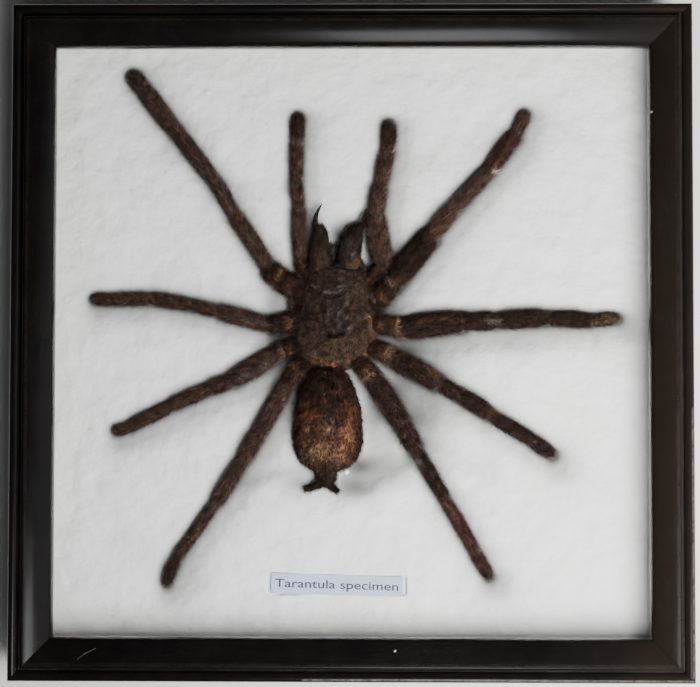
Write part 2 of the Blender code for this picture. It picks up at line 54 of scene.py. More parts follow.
# Camera, almost straight above the middle of the frame.
CAMERA_PLACE = Vector((6.7, -18.62, 530.0)) * MM
CAMERA_TURN = (2.036, 0.799, 0.093)  # degrees
CAMERA_LENS = 86.9  # millimetres
CAMERA_SENSOR = 36.0  # millimetres across

# Room and lights. The room brightens towards one side. How far a direction faces that side goes from -1 to 1:
# between the two values of ROOM_FACING the brightness goes from the first of ROOM_STRENGTHS to the second.
ROOM_BRIGHTEST = Vector((0.93, -0.26, 0.26))
ROOM_FACING = (0.50, 0.95)
ROOM_STRENGTHS = (0.006, 0.300)
ROOM_TINT = (0.93, 0.95, 1.0)
LIGHTS = {  # a light that isn't glossy only lights what is dull
    "lamp": {
        "place": (0.152, -0.135, 0.360),
        "aim": (0.100, -0.020, 0.0),
        "size": 0.25,
        "spread": 102.0,
        "watts": 2.18,
        "tint": (1.0, 0.99, 0.975),
        "glossy": False,
    },
    "window": {
        "place": (0.27, -1.04, 1.68),
        "aim": (0.0, 0.0, 0.0),
        "size": 0.70,
        "spread": 180.0,
        "watts": 5.0,
        "tint": (0.96, 0.98, 1.0),
        "glossy": True,
    },
}
FLOOR_SIZE = 6.0
FLOOR_CELLS = 24
FLOOR_GAP = 0.05 * MM  # between the floor and the frame's back

# Frame, seen from the front. Heights are measured from its back.
FRAME_WIDTH = 203.0 * MM
FRAME_HEIGHT = 201.5 * MM
CROWN_TOP = 32.0 * MM
RAIL_WIDTH = 13.2 * MM  # outer face to sight edge
RABBET_AT = 8.0 * MM  # outer face to the wall behind the lip
LIP_UNDERSIDE = 27.0 * MM
BACK_CHAMFER = 0.6 * MM
BEAD_RADIUS = 1.7 * MM
BEAD_CENTRE_HEIGHT = 29.0 * MM
GROOVE_AT = 3.6 * MM  # outer face to the groove between the bead and the crown
CREST_AT = 5.3 * MM  # outer face to the highest line of the crown
SHOULDER_RADIUS = 1.5 * MM
CROWN_RADIUS = 17.7 * MM
NOSE_AT = 11.8 * MM
MITRE_GAP = 0.04 * MM
RUBBED_EDGE = 0.14 * MM
SHARP_EDGE = 50.0  # degrees, from which an edge is rubbed round
RAILS = {  # turn about Z, length, and distance of the outer face from the middle
    "frame_rail_bottom": (0.0, FRAME_WIDTH, FRAME_HEIGHT / 2),
    "frame_rail_right": (math.pi / 2, FRAME_HEIGHT, FRAME_WIDTH / 2),
    "frame_rail_top": (math.pi, FRAME_WIDTH, FRAME_HEIGHT / 2),
    "frame_rail_left": (-math.pi / 2, FRAME_HEIGHT, FRAME_WIDTH / 2),
}
# Painted highlights, broken where the paint is worn: both ends, reach and strength, in millimetres. A pale
# streak along the top left mitre, then two on the outer edge.
GLINT_LINES = (
    ((-86.6, 86.2), (-84.6, 83.4), 0.6, 0.5),
    ((-14.0, -99.9), (100.6, -99.9), 0.5, 0.30),
    ((100.7, -99.0), (100.7, -20.0), 0.45, 0.25),
)
SCRATCH = ((-80.2, -93.8), (-77.9, -92.1), (-75.0, -90.7))
SCRATCH_REACHES = (0.34, 0.26)
SPECKS = ((88.9, 67.9), (13.0, -91.2))
SPECK_LENGTH = (0.2, 0.1)
SPECK_REACH = 0.4

# Pad, label and pin.
PAD_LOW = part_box("backing_pad")[0].z
PAD_TOP = 14.5 * MM
PAD_HALF = Vector(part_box("backing_pad")[1][:2])
PAD_CELLS = 300
PAD_SHOULDER = 1.5 * MM  # from the pad's top down to the first ring round its side
PAD_SWELL = 0.7 * MM  # how far the cotton swells above its low edge
SWELL_REACH = 9.0 * MM
HOLLOW_CENTRE = Vector((-6.2, -10.0, 24.0))  # millimetres
HOLLOW_RADII = Vector((18.0, 66.0, 12.4))
DENTS = (  # middle, radii, depth and painted shade of the soft dents round the body, millimetres
    ((15.5, -2.6), (9.5, 4.6), 1.6, 0.84),
    ((24.0, -7.0), (9.0, 5.5), 0.8, 0.60),
    ((14.0, -14.0), (6.5, 7.0), 1.8, 0.80),
    ((22.0, -22.0), (9.0, 8.5), 1.0, 0.74),
    ((6.5, -22.5), (5.0, 9.5), 1.6, 0.66),
    ((2.6, -37.6), (6.0, 3.8), 1.2, 0.88),
    ((10.0, -37.0), (8.0, 6.0), 1.2, 0.58),
    ((0.5, -44.0), (7.0, 4.5), 1.2, 0.82),
    ((-15.5, -43.0), (7.0, 5.0), 0.9, 0.55),
    ((-18.0, -19.0), (5.0, 7.0), 0.8, 0.10),
    ((-24.0, 13.0), (4.0, 3.6), 0.9, 0.45),
    ((-23.0, 2.0), (6.0, 4.0), 0.8, 0.10),
    ((-23.0, -8.0), (6.0, 4.0), 0.8, 0.10),
    ((13.5, 22.0), (5.0, 6.0), 1.2, 0.30),
    ((12.0, 12.5), (4.0, 4.0), 1.0, 0.50),
    ((-4.0, 33.0), (4.4, 4.6), 0.8, 0.80),
    ((5.5, 28.0), (2.6, 8.0), 0.9, 0.66),
    ((-17.0, 27.0), (4.0, 6.0), 0.7, 0.10),
)
CREASES = (  # ends, reach to each side, depth and painted shade of the long creases, millimetres
    ((-37.0, -42.5), (-15.0, -37.0), 2.4, 1.2, 0.22),
    ((3.0, -44.0), (17.0, -36.0), 2.6, 1.2, 0.26),
    ((20.0, 1.0), (52.0, 0.0), 3.4, 0.9, 0.24),
    ((22.0, -30.0), (40.0, -38.0), 4.0, 1.0, 0.18),
    ((-60.0, 20.0), (-34.0, 15.0), 4.0, 0.7, 0.10),
    ((20.0, 56.0), (42.0, 66.0), 5.0, 0.8, 0.08),
    ((-72.0, -60.0), (-48.0, -72.0), 5.0, 0.8, 0.10),
)
GROOVE_DEPTH = 1.4  # millimetres, of the grooves in which the limbs lie
GROOVE_REACH = 3.1
GROOVE_SHIFT = np.array((1.4, -1.7))  # the cotton is pressed down further on this side of each limb
# Painted shade on the cotton round the limbs. It is stronger on the side to which GROOVE_SHIFT points.
GROOVE_PAINTED_SHADE = 0.95
PAINTED_SHADE_REACH = (1.3, 4.8)  # how far the painted shade reaches on the light side of the limbs and on the dark side
PAINTED_SHADE_TURN = 2.2  # how sharply the painted shade turns from the light side to the other
PAD_RUMPLES = ((19.0, 2.2), (6.5, 1.1), (2.4, 0.50))  # size and strength of each, millimetres
LABEL_SIZE = Vector((40.0, 6.1)) * MM
LABEL_CENTRE = Vector((-4.3, -73.6)) * MM
LABEL_TILT = 1.7  # degrees clockwise
LABEL_THICKNESS = 0.16 * MM
LABEL_CURL = 7.0  # degrees, over its length
LABEL_HEIGHT = PAD_TOP + 0.45 * MM
LABEL_BED = (0.53, 0.1 * MM)  # how far the flat bed below the label reaches, in label sizes, and its height
PRINT_TEXT = "Tarantula specimen"
PRINT_WIDTH = 37.4 * MM
PRINT_SIZE = 3.6 * MM
PRINT_THICKNESS = 0.012 * MM
PRINT_WEIGHT = 0.035 * MM  # how much bolder than its type
PRINT_GAP = 0.02 * MM
PIN_AT = Vector((-1.4, -39.3)) * MM
PIN_HEAD_RADIUS = 0.85 * MM
PIN_SHAFT_RADIUS = 0.3 * MM
PIN_NECK_SHARE = 0.9  # of the head's radius, from its middle down to the shaft
PIN_TOP = 18.6 * MM
PIN_POINT = 9.5 * MM
PIN_TAPER = 1.5 * MM
FIBRE_COUNT = 4200
FIBRE_LENGTHS = (1.6 * MM, 4.2 * MM)
FIBRE_WIDTHS = (0.035 * MM, 0.07 * MM)
FIBRE_BEND = 0.6
FIBRE_SHADE_LIMIT = 0.25  # the cotton's painted shade up to which loose fibres show
GLASS_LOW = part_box("glass_pane")[0].z - 0.4 * MM  # as high as a hair may reach

# Body. Stations run from a piece's rear (-1) to its front (+1). Each has a half width, and a rise above the
# widest line. Tones are a middle, two radii, a colour and its strength, seen from above.
BODY_RINGS = 18
BODY_SIDES = 28
CARAPACE_CENTRE = Vector((-4.8, 7.4, 17.4)) * MM
CARAPACE_HALF_LENGTH = 15.0 * MM
CARAPACE_STATIONS = (-1.0, -0.97, -0.85, -0.6, -0.2, 0.2, 0.6, 0.97, 1.0)
CARAPACE_HALF_WIDTHS = (4.4, 6.6, 9.9, 12.0, 12.5, 11.8, 10.0, 8.1, 6.6)
CARAPACE_RISES = (0.9, 1.6, 2.8, 3.7, 4.1, 4.5, 5.0, 3.9, 2.6)
CARAPACE_DEPTH = 3.4
FOVEA = Vector((-5.2, 2.1)) * MM
EYE_MOUND = Vector((-5.4, 16.0)) * MM
EYES = (  # across and along from the middle of the mound, and radius, millimetres
    (-0.75, 0.35, 0.34),
    (0.75, 0.35, 0.34),
    (-1.5, -0.3, 0.26),
    (1.5, -0.3, 0.26),
)
# Strokes carve the relief and paint colour, and some of them paint its highlights and shade, as noted at
# each.
CARAPACE_STROKES = (  # points, reach, rise, colour and strength, millimetres
    # Painted highlight: the pale crescent on the eye mound's rear rim.
    (
        ((-8.6, 15.0), (-6.5, 14.6), (-5.0, 14.6), (-3.9, 14.9), (-3.0, 15.5)),
        0.34,
        0.30,
        (0.085, 0.080, 0.078),
        0.60,
    ),
    # Painted shade: the dark line under that rim.
    (
        ((-8.2, 13.6), (-7.0, 13.1), (-5.4, 13.4), (-3.8, 13.8), (-2.6, 14.2), (-1.8, 15.0)),
        0.36,
        -0.45,
        (0.006, 0.005, 0.005),
        0.80,
    ),
    (((-9.9, 14.4), (-9.3, 14.9)), 0.6, -0.3, (0.010, 0.008, 0.008), 0.70),
    (((-2.2, 16.6), (-0.6, 17.4), (1.2, 17.2)), 0.38, 0.12, (0.046, 0.045, 0.050), 0.40),
    (((-7.0, 17.2), (-4.6, 16.4), (-2.6, 17.0)), 0.45, 0.2, (0.050, 0.046, 0.046), 0.45),
    (((-1.0, 13.2), (-2.3, 10.2), (-4.0, 8.4), (-4.5, 6.4)), 0.42, 0.30, (0.064, 0.050, 0.043), 0.50),
    (((0.4, 12.4), (-1.2, 9.6), (-2.6, 8.0)), 0.42, -0.25, (0.012, 0.009, 0.008), 0.45),
    (((-1.0, 7.6), (-3.0, 5.6), (-3.8, 3.6)), 0.45, -0.3, (0.030, 0.026, 0.031), 0.45),
    (((-7.3, 12.2), (-7.0, 9.0), (-7.3, 6.0)), 0.85, 0.12, (0.044, 0.033, 0.031), 0.40),
    (((-9.2, 12.4), (-8.8, 9.0), (-8.5, 5.6)), 0.60, -0.25, (0.012, 0.008, 0.008), 0.50),
    # Painted shade: the dark pit of the fovea.
    (
        ((-7.3, 2.3), (-6.0, 1.8), (-4.8, 1.9), (-3.6, 2.2), (-2.2, 2.5)),
        0.45,
        -1.2,
        (0.004, 0.0035, 0.004),
        0.95,
    ),
    # Painted highlight: the pale rim round the fovea's pit, in this and the next stroke.
    (((-8.5, 2.6), (-7.7, 2.4)), 0.50, 0.2, (0.060, 0.058, 0.062), 0.45),
    (((-6.4, 0.7), (-4.4, 0.7), (-2.6, 1.2)), 0.50, 0.35, (0.050, 0.044, 0.038), 0.40),
    (((-2.4, 2.9), (-0.9, 3.9), (0.6, 4.7)), 0.42, 0.30, (0.066, 0.058, 0.054), 0.50),
    (((-0.6, 2.6), (1.4, 3.6), (3.4, 4.4)), 0.45, -0.25, (0.014, 0.011, 0.010), 0.40),
    (((2.0, 8.8), (4.4, 8.0), (5.6, 7.0)), 0.40, -0.2, (0.018, 0.013, 0.011), 0.35),
    (((-12.0, -6.3), (-9.0, -6.4), (-6.0, -7.0)), 0.60, 0.1, (0.075, 0.028, 0.018), 0.55),
    (((-7.0, 3.0), (-10.6, 6.4), (-13.6, 9.0)), 0.55, -0.35, (0.012, 0.008, 0.007), 0.35),
    (((-7.2, 1.4), (-10.4, -0.6), (-13.0, -2.8)), 0.55, -0.35, (0.014, 0.009, 0.008), 0.35),
    (((-5.6, 0.4), (-7.0, -2.8), (-8.6, -5.6)), 0.50, -0.25, (0.020, 0.014, 0.010), 0.30),
    (((-4.4, 0.4), (-3.0, -2.8), (-1.8, -5.6)), 0.50, -0.25, (0.020, 0.014, 0.010), 0.30),
    (((-2.6, 1.0), (0.6, -0.8), (3.4, -3.2)), 0.50, -0.3, (0.020, 0.014, 0.010), 0.35),
    (((5.2, 7.6), (6.3, 5.0), (6.4, 2.0)), 0.80, 0.1, (0.100, 0.056, 0.024), 0.75),
    (((6.2, -0.8), (5.3, -2.8), (4.0, -4.6)), 0.80, 0.1, (0.105, 0.062, 0.023), 0.75),
    (((1.2, 16.8), (3.0, 14.6), (4.0, 12.0)), 1.0, 0.1, (0.044, 0.028, 0.018), 0.50),
    (((-5.6, -6.9), (-4.6, -7.2)), 0.45, 0.1, (0.200, 0.050, 0.042), 0.85),
)
CARAPACE_TONE = (0.0280, 0.0185, 0.0140)
CARAPACE_TONES = (
    ((-5.0, 10.0), (6.0, 9.0), (0.0130, 0.0100, 0.0094), 0.9),
    ((-14.0, 9.0), (5.0, 10.0), (0.0150, 0.0090, 0.0080), 0.95),
    ((-9.5, 19.5), (6.0, 3.2), (0.0190, 0.0125, 0.0108), 0.8),
    ((2.2, 9.5), (3.2, 6.5), (0.0215, 0.0140, 0.0105), 0.85),
    ((-4.0, -3.2), (9.0, 4.2), (0.0330, 0.0212, 0.0152), 0.9),
    ((-12.5, -1.5), (3.5, 4.5), (0.0250, 0.0150, 0.0115), 0.7),
    ((-7.5, -6.2), (8.0, 1.4), (0.0480, 0.0310, 0.0190), 0.6),
)

# The underside is partly the real underside and partly a dark piece that stands for the shade in the gaps
# round the front body.
UNDERSIDE_CENTRE = Vector((-5.6, 10.4, 15.4)) * MM
UNDERSIDE_HALF_LENGTH = 19.4 * MM
UNDERSIDE_STATIONS = (-1.0, -0.92, -0.75, -0.45, -0.1, 0.2, 0.45, 0.65, 0.85, 1.0)
UNDERSIDE_HALF_WIDTHS = (3.2, 6.0, 10.2, 12.8, 13.6, 13.6, 12.6, 10.4, 7.6, 4.8)
UNDERSIDE_RISES = (0.5, 1.0, 1.4, 1.7, 1.9, 1.9, 1.8, 1.7, 1.4, 0.7)
UNDERSIDE_DEPTH = 1.5
UNDERSIDE_TONE = (0.0400, 0.0300, 0.0260)

ABDOMEN_CENTRE = Vector((-7.1, -23.6, 17.6)) * MM
ABDOMEN_HALF_LENGTH = 15.6 * MM
ABDOMEN_STATIONS = (-1.0, -0.97, -0.85, -0.6, -0.3, 0.1, 0.5, 0.8, 0.97, 1.0)
ABDOMEN_HALF_WIDTHS = (2.6, 4.6, 7.8, 10.0, 10.6, 10.0, 8.7, 6.9, 4.2, 2.4)
ABDOMEN_RISES = (1.0, 1.9, 3.6, 4.8, 5.2, 5.1, 4.7, 3.9, 2.2, 1.2)
ABDOMEN_DEPTH = 4.9
ABDOMEN_TONE = (0.0155, 0.0082, 0.0070)
ABDOMEN_TONES = (
    ((-6.9, -28.5), (9.0, 10.5), (0.0330, 0.0160, 0.0110), 1.0),
    ((-11.2, -21.6), (1.3, 1.7), (0.0950, 0.0320, 0.0160), 0.85),
    ((-9.8, -25.4), (0.9, 1.8), (0.0700, 0.0240, 0.0140), 0.60),
    ((-13.0, -22.4), (1.8, 3.4), (0.0520, 0.0230, 0.0140), 0.85),
    ((-13.6, -27.6), (1.6, 3.6), (0.0560, 0.0300, 0.0200), 0.75),
    ((-11.0, -25.0), (1.3, 2.6), (0.0180, 0.0100, 0.0080), 0.70),
    ((-0.8, -21.0), (1.9, 3.0), (0.0600, 0.0250, 0.0140), 0.85),
    ((-1.2, -28.6), (2.3, 6.4), (0.0960, 0.0430, 0.0240), 0.95),
    ((-2.2, -34.0), (2.8, 2.4), (0.0540, 0.0260, 0.0170), 0.8),
    ((-7.4, -26.6), (1.7, 2.2), (0.0950, 0.0520, 0.0370), 0.8),
    ((-9.0, -30.4), (2.2, 1.8), (0.0560, 0.0290, 0.0210), 0.6),
    ((-8.6, -33.2), (4.0, 2.6), (0.0920, 0.0560, 0.0330), 0.9),
    ((-5.4, -35.6), (3.0, 1.8), (0.0760, 0.0420, 0.0260), 0.85),
    ((-13.6, -34.0), (2.0, 2.4), (0.0400, 0.0300, 0.0190), 0.8),
    ((-5.8, -21.8), (3.0, 3.6), (0.0150, 0.0100, 0.0088), 0.85),
    ((-4.6, -26.6), (1.1, 2.4), (0.0160, 0.0120, 0.0105), 0.75),
    ((-6.6, -23.6), (1.2, 1.0), (0.0480, 0.0360, 0.0340), 0.5),
    ((-6.4, -31.4), (1.7, 1.3), (0.0260, 0.0170, 0.0130), 0.6),
    ((-7.4, -38.6), (5.5, 1.6), (0.0300, 0.0200, 0.0150), 0.9),
    ((-7.2, -42.6), (6.0, 2.6), (0.0130, 0.0100, 0.0085), 1.0),
)
RUBBED_PATCH = ((-6.5, -29.0), (8.0, 8.0))  # middle and radii of the patch without long hairs, millimetres
RUBBED_SHARE = 0.93  # of the long hairs that the patch has lost
SPINNERET_ROOT = ((-7.4, -36.5, 17.1), (-7.6, -40.2, 17.1), (-7.7, -43.6, 16.8))
SPINNERET_ROOT_WIDTHS = (3.4, 3.5, 2.5)  # from the middle line to each side
SPINNERETS = (
    ((-8.0, -41.0, 16.8), (-9.4, -42.9, 16.4), (-12.0, -44.1, 16.3), (-14.6, -44.9, 16.1)),
    ((-7.2, -41.0, 16.8), (-6.6, -43.0, 16.4), (-5.2, -44.4, 16.3), (-3.6, -45.4, 16.1)),
)
SPINNERET_WIDTHS = (1.3, 1.3, 1.05, 0.6)

CHELICERAE = {  # lobes of the jaws, each with the points of its fang, millimetres and degrees
    "left": {
        "centre": (-9.6, 28.2, 18.4),
        "half_length": 7.0,
        "heading": 90.0,
        "half_widths": (3.0, 3.3, 3.3, 2.9, 2.3, 1.7, 0.8),
        "lean": 0.0,
        "fang": (
            (-9.9, 31.5, 18.3),
            (-10.9, 34.4, 18.2),
            (-11.2, 36.8, 18.0),
            (-10.6, 39.8, 17.4),
            (-8.9, 42.3, 16.8),
        ),
    },
    "right": {
        "centre": (-0.3, 28.7, 18.4),
        "half_length": 6.9,
        "heading": 80.0,
        "half_widths": (2.8, 3.2, 3.4, 3.3, 2.8, 1.9, 0.7),
        "lean": 1.3,
        "fang": (
            (1.0, 31.0, 18.3),
            (2.1, 33.4, 18.2),
            (2.9, 35.8, 18.0),
            (3.7, 38.6, 17.4),
            (4.7, 41.2, 16.8),
        ),
    },
}
CHELICERA_TONE = (0.0230, 0.0155, 0.0128)
CHELICERA_TONES = (
    ((-9.6, 24.6), (2.6, 3.2), (0.0440, 0.0290, 0.0200), 0.8),
    ((-9.2, 29.0), (1.6, 3.6), (0.0330, 0.0220, 0.0165), 0.7),
    ((1.6, 23.4), (1.5, 1.5), (0.1000, 0.0560, 0.0320), 0.9),
    ((-0.8, 27.0), (1.6, 3.5), (0.0370, 0.0330, 0.0330), 0.7),
)
CHELICERA_STATIONS = (-1.0, -0.95, -0.5, 0.1, 0.6, 0.93, 1.0)
CHELICERA_RISES = (1.8, 2.6, 3.3, 3.2, 2.7, 1.7, 1.0)
CHELICERA_DEPTH = 3.2
CHELICERA_RINGS = 12
CHELICERA_SIDES = 18
FANG_WIDTHS = (2.7, 2.3, 1.8, 1.15, 0.3)

# Limbs, in millimetres and degrees. A limb starts at its hip, given from the middle of the carapace. From
# there its joints follow outwards, each with its length, its heading anticlockwise from +X, and its width.
# Legs: coxa, trochanter, femur, patella, tibia, metatarsus, tarsus. Pedipalps have no metatarsus.
# Marks are short lines of another colour: both ends, reach and colour, seen from above.
# Heights are those of the joints' middle line above the frame's back, from the hip to the tip.
LEG_HEIGHTS = (18.0, 18.4, 18.1, 18.0, 17.7, 17.1, 16.7, 16.4)
PALP_HEIGHTS = (17.0, 17.3, 17.2, 17.4, 17.2, 16.8, 16.5)
LIMBS = {
    "leg_1_left": {
        "hip": (-11.2, 8.2),
        "lengths": (7.0, 3.5, 20.0, 11.0, 21.5, 15.5, 5.5),
        "headings": (149, 137, 123, 120, 128, 128, 127),
        "widths": (7.0, 6.9, 4.7, 4.0, 4.6, 5.2, 5.0),
        "coats": ("hip", "hip", "umber", "umber", "umber", "umber", "umber"),
        "marks": (
            ((-22.3, 18.9), (-21.0, 20.4), 0.6, "amber"),
            ((-24.2, 17.6), (-22.8, 16.0), 1.0, "ochre"),
            ((-19.5, 16.4), (-18.6, 15.0), 1.2, "rust"),
            ((-36.2, 40.4), (-34.0, 36.0), 1.1, "rust"),
        ),
    },
    "leg_1_right": {
        "hip": (12.1, 4.4),
        "lengths": (6.0, 2.0, 18.0, 10.5, 16.5, 13.5, 7.6),
        "headings": (50, 50, 51, 50, 48, 52, 67),
        "widths": (6.4, 6.4, 7.4, 5.0, 4.8, 5.0, 3.8),
        "coats": ("hip", "hip", "dark", "umber", "umber", "maroon", "umber"),
        "marks": (
            ((42.6, 51.4), (43.1, 51.9), 0.5, "bone"),
            ((23.7, 30.7), (29.7, 37.6), 0.9, "rust"),
            ((9.9, 19.4), (12.7, 16.8), 0.45, "pink"),
            ((5.1, 14.5), (6.9, 11.9), 0.5, "pink"),
            ((8.2, 14.2), (9.4, 12.4), 1.1, "ochre"),
            ((7.6, 16.9), (8.4, 15.8), 0.8, "black"),
            ((14.6, 19.4), (17.0, 17.2), 0.5, "rust"),
        ),
    },
    "leg_2_left": {
        "hip": (-12.0, -1.1),
        "lengths": (5.5, 2.0, 16.5, 8.5, 12.5, 12.0, 5.9),
        "headings": (-165, 177, 166, 166, 171, -178, 177),
        "widths": (6.2, 5.9, 4.7, 3.6, 4.0, 3.6, 3.4),
        "coats": ("hip", "hip", "umber", "umber", "umber", "umber", "umber"),
        "marks": (
            ((-19.0, 7.0), (-19.6, 3.8), 0.7, "ochre"),
            ((-18.0, 6.4), (-18.4, 4.2), 0.45, "tan"),
            ((-32.1, 6.5), (-24.2, 5.2), 0.5, "ash"),
            ((-46.0, 9.6), (-40.0, 8.4), 0.5, "rust"),
        ),
    },
    "leg_2_right": {
        "hip": (12.2, -2.1),
        "lengths": (5.5, 2.0, 18.5, 10.5, 15.5, 13.5, 8.1),
        "headings": (-6, -17, 6, 3, 2, -2, 4),
        "widths": (6.2, 6.8, 7.1, 5.2, 5.3, 4.7, 3.8),
        "coats": ("hip", "hip", "dark", "dark", "dark", "dark", "olive"),
        "marks": (
            ((13.2, 6.6), (13.6, 3.2), 0.45, "tan"),
            ((11.4, 6.6), (11.8, 3.6), 0.5, "rust"),
            ((8.2, 5.8), (8.6, 4.4), 0.5, "ochre"),
            ((58.7, 4.5), (59.2, 4.7), 0.5, "bone"),
            ((40.5, 6.2), (43.5, 6.2), 0.7, "ash"),
            ((16.9, 6.8), (17.2, 2.2), 0.5, "black"),
            ((20.0, 6.0), (28.0, 7.0), 0.5, "rust"),
        ),
    },
    "leg_3_left": {
        "hip": (-11.6, -9.2),
        "lengths": (4.0, 1.5, 16.5, 7.0, 13.0, 15.0, 4.2),
        "headings": (-170, -154, -149, -160, -157, -153, -163),
        "widths": (5.4, 5.6, 5.4, 4.4, 4.0, 3.6, 3.1),
        "coats": ("hip", "hip", "umber", "umber", "umber", "umber", "umber"),
        "marks": (
            ((-21.0, -1.9), (-20.3, -4.6), 0.45, "tan"),
            ((-18.6, -1.4), (-18.2, -3.6), 0.5, "ochre"),
            # Painted highlight: the pale ash line along the femur is a glint.
            ((-33.6, -10.8), (-23.8, -7.2), 0.55, "ash"),
            ((-42.0, -15.4), (-38.0, -13.6), 0.5, "rust"),
        ),
    },
    "leg_3_right": {
        "hip": (11.0, -9.4),
        "lengths": (4.5, 1.5, 16.0, 7.5, 11.0, 15.5, 7.5),
        "headings": (-18, -39, -29, -29, -32, -32, -35),
        "widths": (6.0, 6.6, 6.3, 4.6, 5.0, 4.0, 4.1),
        "coats": ("hip", "hip", "dark", "dark", "dark", "dark", "dark"),
        "marks": (
            ((11.3, -1.4), (9.6, -4.6), 0.45, "tan"),
            ((9.0, -1.2), (7.6, -4.2), 0.5, "ochre"),
            ((21.8, -7.4), (26.3, -10.8), 0.8, "rust"),
            ((41.6, -21.2), (42.8, -21.9), 0.7, "ochre"),
            ((13.4, -3.0), (12.6, -5.4), 0.6, "black"),
        ),
    },
    "leg_4_left": {
        "hip": (-10.2, -14.1),
        "lengths": (3.5, 2.0, 19.0, 9.0, 15.5, 21.0, 8.5),
        "headings": (-128, -128, -120, -120, -123, -125, -113),
        "widths": (5.4, 5.6, 4.8, 4.8, 4.3, 3.2, 3.2),
        "coats": ("hip", "hip", "umber", "umber", "umber", "umber", "brown"),
        "marks": (
            ((-16.8, -8.2), (-14.8, -9.4), 0.6, "rust"),
            ((-17.4, -6.6), (-16.2, -7.4), 0.45, "tan"),
            ((-41.6, -49.0), (-40.4, -50.0), 0.7, "ash"),
        ),
    },
    "leg_4_right": {
        "hip": (6.9, -13.1),
        "lengths": (4.5, 2.0, 16.5, 8.0, 18.0, 19.0, 8.4),
        "headings": (-51, -48, -57, -61, -60, -60, -61),
        "widths": (6.0, 6.5, 6.4, 5.5, 3.9, 3.6, 3.7),
        "coats": ("hip", "hip", "dark", "dark", "dark", "maroon", "maroon"),
        "marks": (
            ((2.8, -11.6), (6.2, -9.2), 0.45, "tan"),
            ((2.0, -10.0), (4.6, -8.0), 0.5, "ochre"),
            ((16.0, -27.6), (18.8, -25.4), 0.6, "rust"),
            ((18.8, -35.2), (20.2, -35.8), 1.0, "ash"),
            ((39.9, -69.2), (41.1, -71.0), 1.5, "black"),
            ((5.6, -16.1), (9.4, -20.6), 0.6, "rust"),
        ),
    },
    "pedipalp_left": {
        "hip": (-6.5, 13.2),
        "lengths": (3.5, 2.0, 17.0, 9.0, 11.5, 7.7),
        "headings": (158, 117, 92, 95, 89, 88),
        "widths": (3.6, 4.2, 4.0, 3.4, 3.7, 3.9),
        "coats": ("hip", "hip", "umber", "umber", "umber", "brown"),
        "marks": (
            ((-15.2, 23.6), (-14.6, 22.8), 0.8, "rust"),
            ((-17.6, 39.5), (-15.2, 39.6), 0.4, "ash"),
            ((-17.6, 46.8), (-15.4, 46.8), 0.4, "ash"),
            ((-18.9, 60.1), (-14.5, 59.7), 0.35, "pink"),
        ),
    },
    "pedipalp_right": {
        "hip": (8.5, 10.0),
        "lengths": (7.0, 1.5, 15.0, 9.0, 12.0, 7.8),
        "headings": (45, 45, 100, 80, 78, 88),
        "widths": (3.6, 4.4, 6.5, 5.0, 4.3, 4.2),
        "coats": ("hip", "hip", "umber", "umber", "umber", "brown"),
        "marks": (
            ((4.3, 18.0), (7.8, 21.8), 0.5, "ochre"),
            ((8.4, 58.4), (12.8, 57.4), 0.35, "pink"),
            ((6.6, 37.8), (9.2, 37.4), 0.4, "ash"),
        ),
    },
}
# Where each ring of a joint lies along it, and how wide it is. A joint is waisted at both ends.
JOINT_RINGS = (
    (0.02, 0.74),
    (0.08, 0.84),
    (0.22, 0.97),
    (0.45, 1.03),
    (0.70, 1.02),
    (0.88, 0.96),
    (0.95, 0.88),
    (0.975, 0.76),
)
SHORT_JOINT = 4.5  # up to this length a joint has fewer rings
SHORT_JOINT_RINGS = ((0.08, 0.86), (0.30, 0.97), (0.72, 1.0), (0.92, 0.90))
ROOT_REACH = 2.6  # from the hip back into the body
ROOT_DROP = 1.0 * MM
ROOT_SHARE = 0.8
LIMB_TIP = ((0.82, 0.90), (0.92, 0.76), (0.98, 0.52), (1.0, 0.24))  # rings of the last joint's end
LIMB_SIDES = 12
CORE_SHARE = 0.92  # of the width over its dense coat
FLATNESS = 0.96  # height of a limb for its width
UNEVENNESS = 0.12  # of the width
UNEVEN_SIZE = 3.6 * MM
WANDER = 0.45 * MM  # to either side
WANDER_SIZE = 5.0 * MM
MEMBRANE_REACH = 0.55 * MM
MEMBRANE_STRENGTH = 0.75
COLOUR_ENDS = (0.12, 0.88)  # between them a joint has its own colour

# Hairs. Ranges are factors on the length, the width and the lean of a coat's hairs.
HAIR_LEANS = (0.55, 1.5)
HAIR_LENGTHS = (0.6, 1.3)
HAIR_WIDTHS = (0.75, 1.25)
HAIR_SPREAD = 0.35  # to both sides of the way they grow
HAIR_BEND = (0.35, 0.12)  # forwards and down, in hair lengths
HAIR_TONES = (0.40, 0.5)  # how much a hair and a tuft differ from the skin
HAIR_ROOT = 0.05 * MM  # how deep a hair starts in the skin
HAIR_BELOW_GLASS = 0.3  # of its length, where it would touch the pane
STRAND_TAPER = 0.7
STRAND_SHADES = (0.75, 0.75)  # tone at the foot, and what it gains up to the tip
LIMB_COAT = {"length": 1.2 * MM, "width": 0.12 * MM, "lean": 30.0}
LIMB_BRISTLES = {"length": 2.3 * MM, "width": 0.085 * MM, "lean": 46.0, "steps": 2, "lighten": 1.4}
LIMB_HAIRS = (125, 26)  # hairs of the coat and bristles on each millimetre of a limb
CARAPACE_COAT = {"count": 15000, "length": 0.62 * MM, "width": 0.10 * MM, "lean": 16.0}
CARAPACE_FRINGE = {
    "count": 3600, "length": 1.6 * MM, "width": 0.10 * MM, "lean": 20.0, "steps": 2, "lighten": 1.2
}
UNDERSIDE_COAT = {"count": 6500, "length": 1.5 * MM, "width": 0.12 * MM, "lean": 30.0}
ABDOMEN_COAT = {"count": 9000, "length": 1.5 * MM, "width": 0.11 * MM, "lean": 26.0, "steps": 2}
ABDOMEN_STUBBLE = {"count": 5200, "length": 0.4 * MM, "width": 0.09 * MM, "lean": 18.0}
CHELICERA_COAT = {"count": 3800, "length": 1.25 * MM, "width": 0.11 * MM, "lean": 18.0}

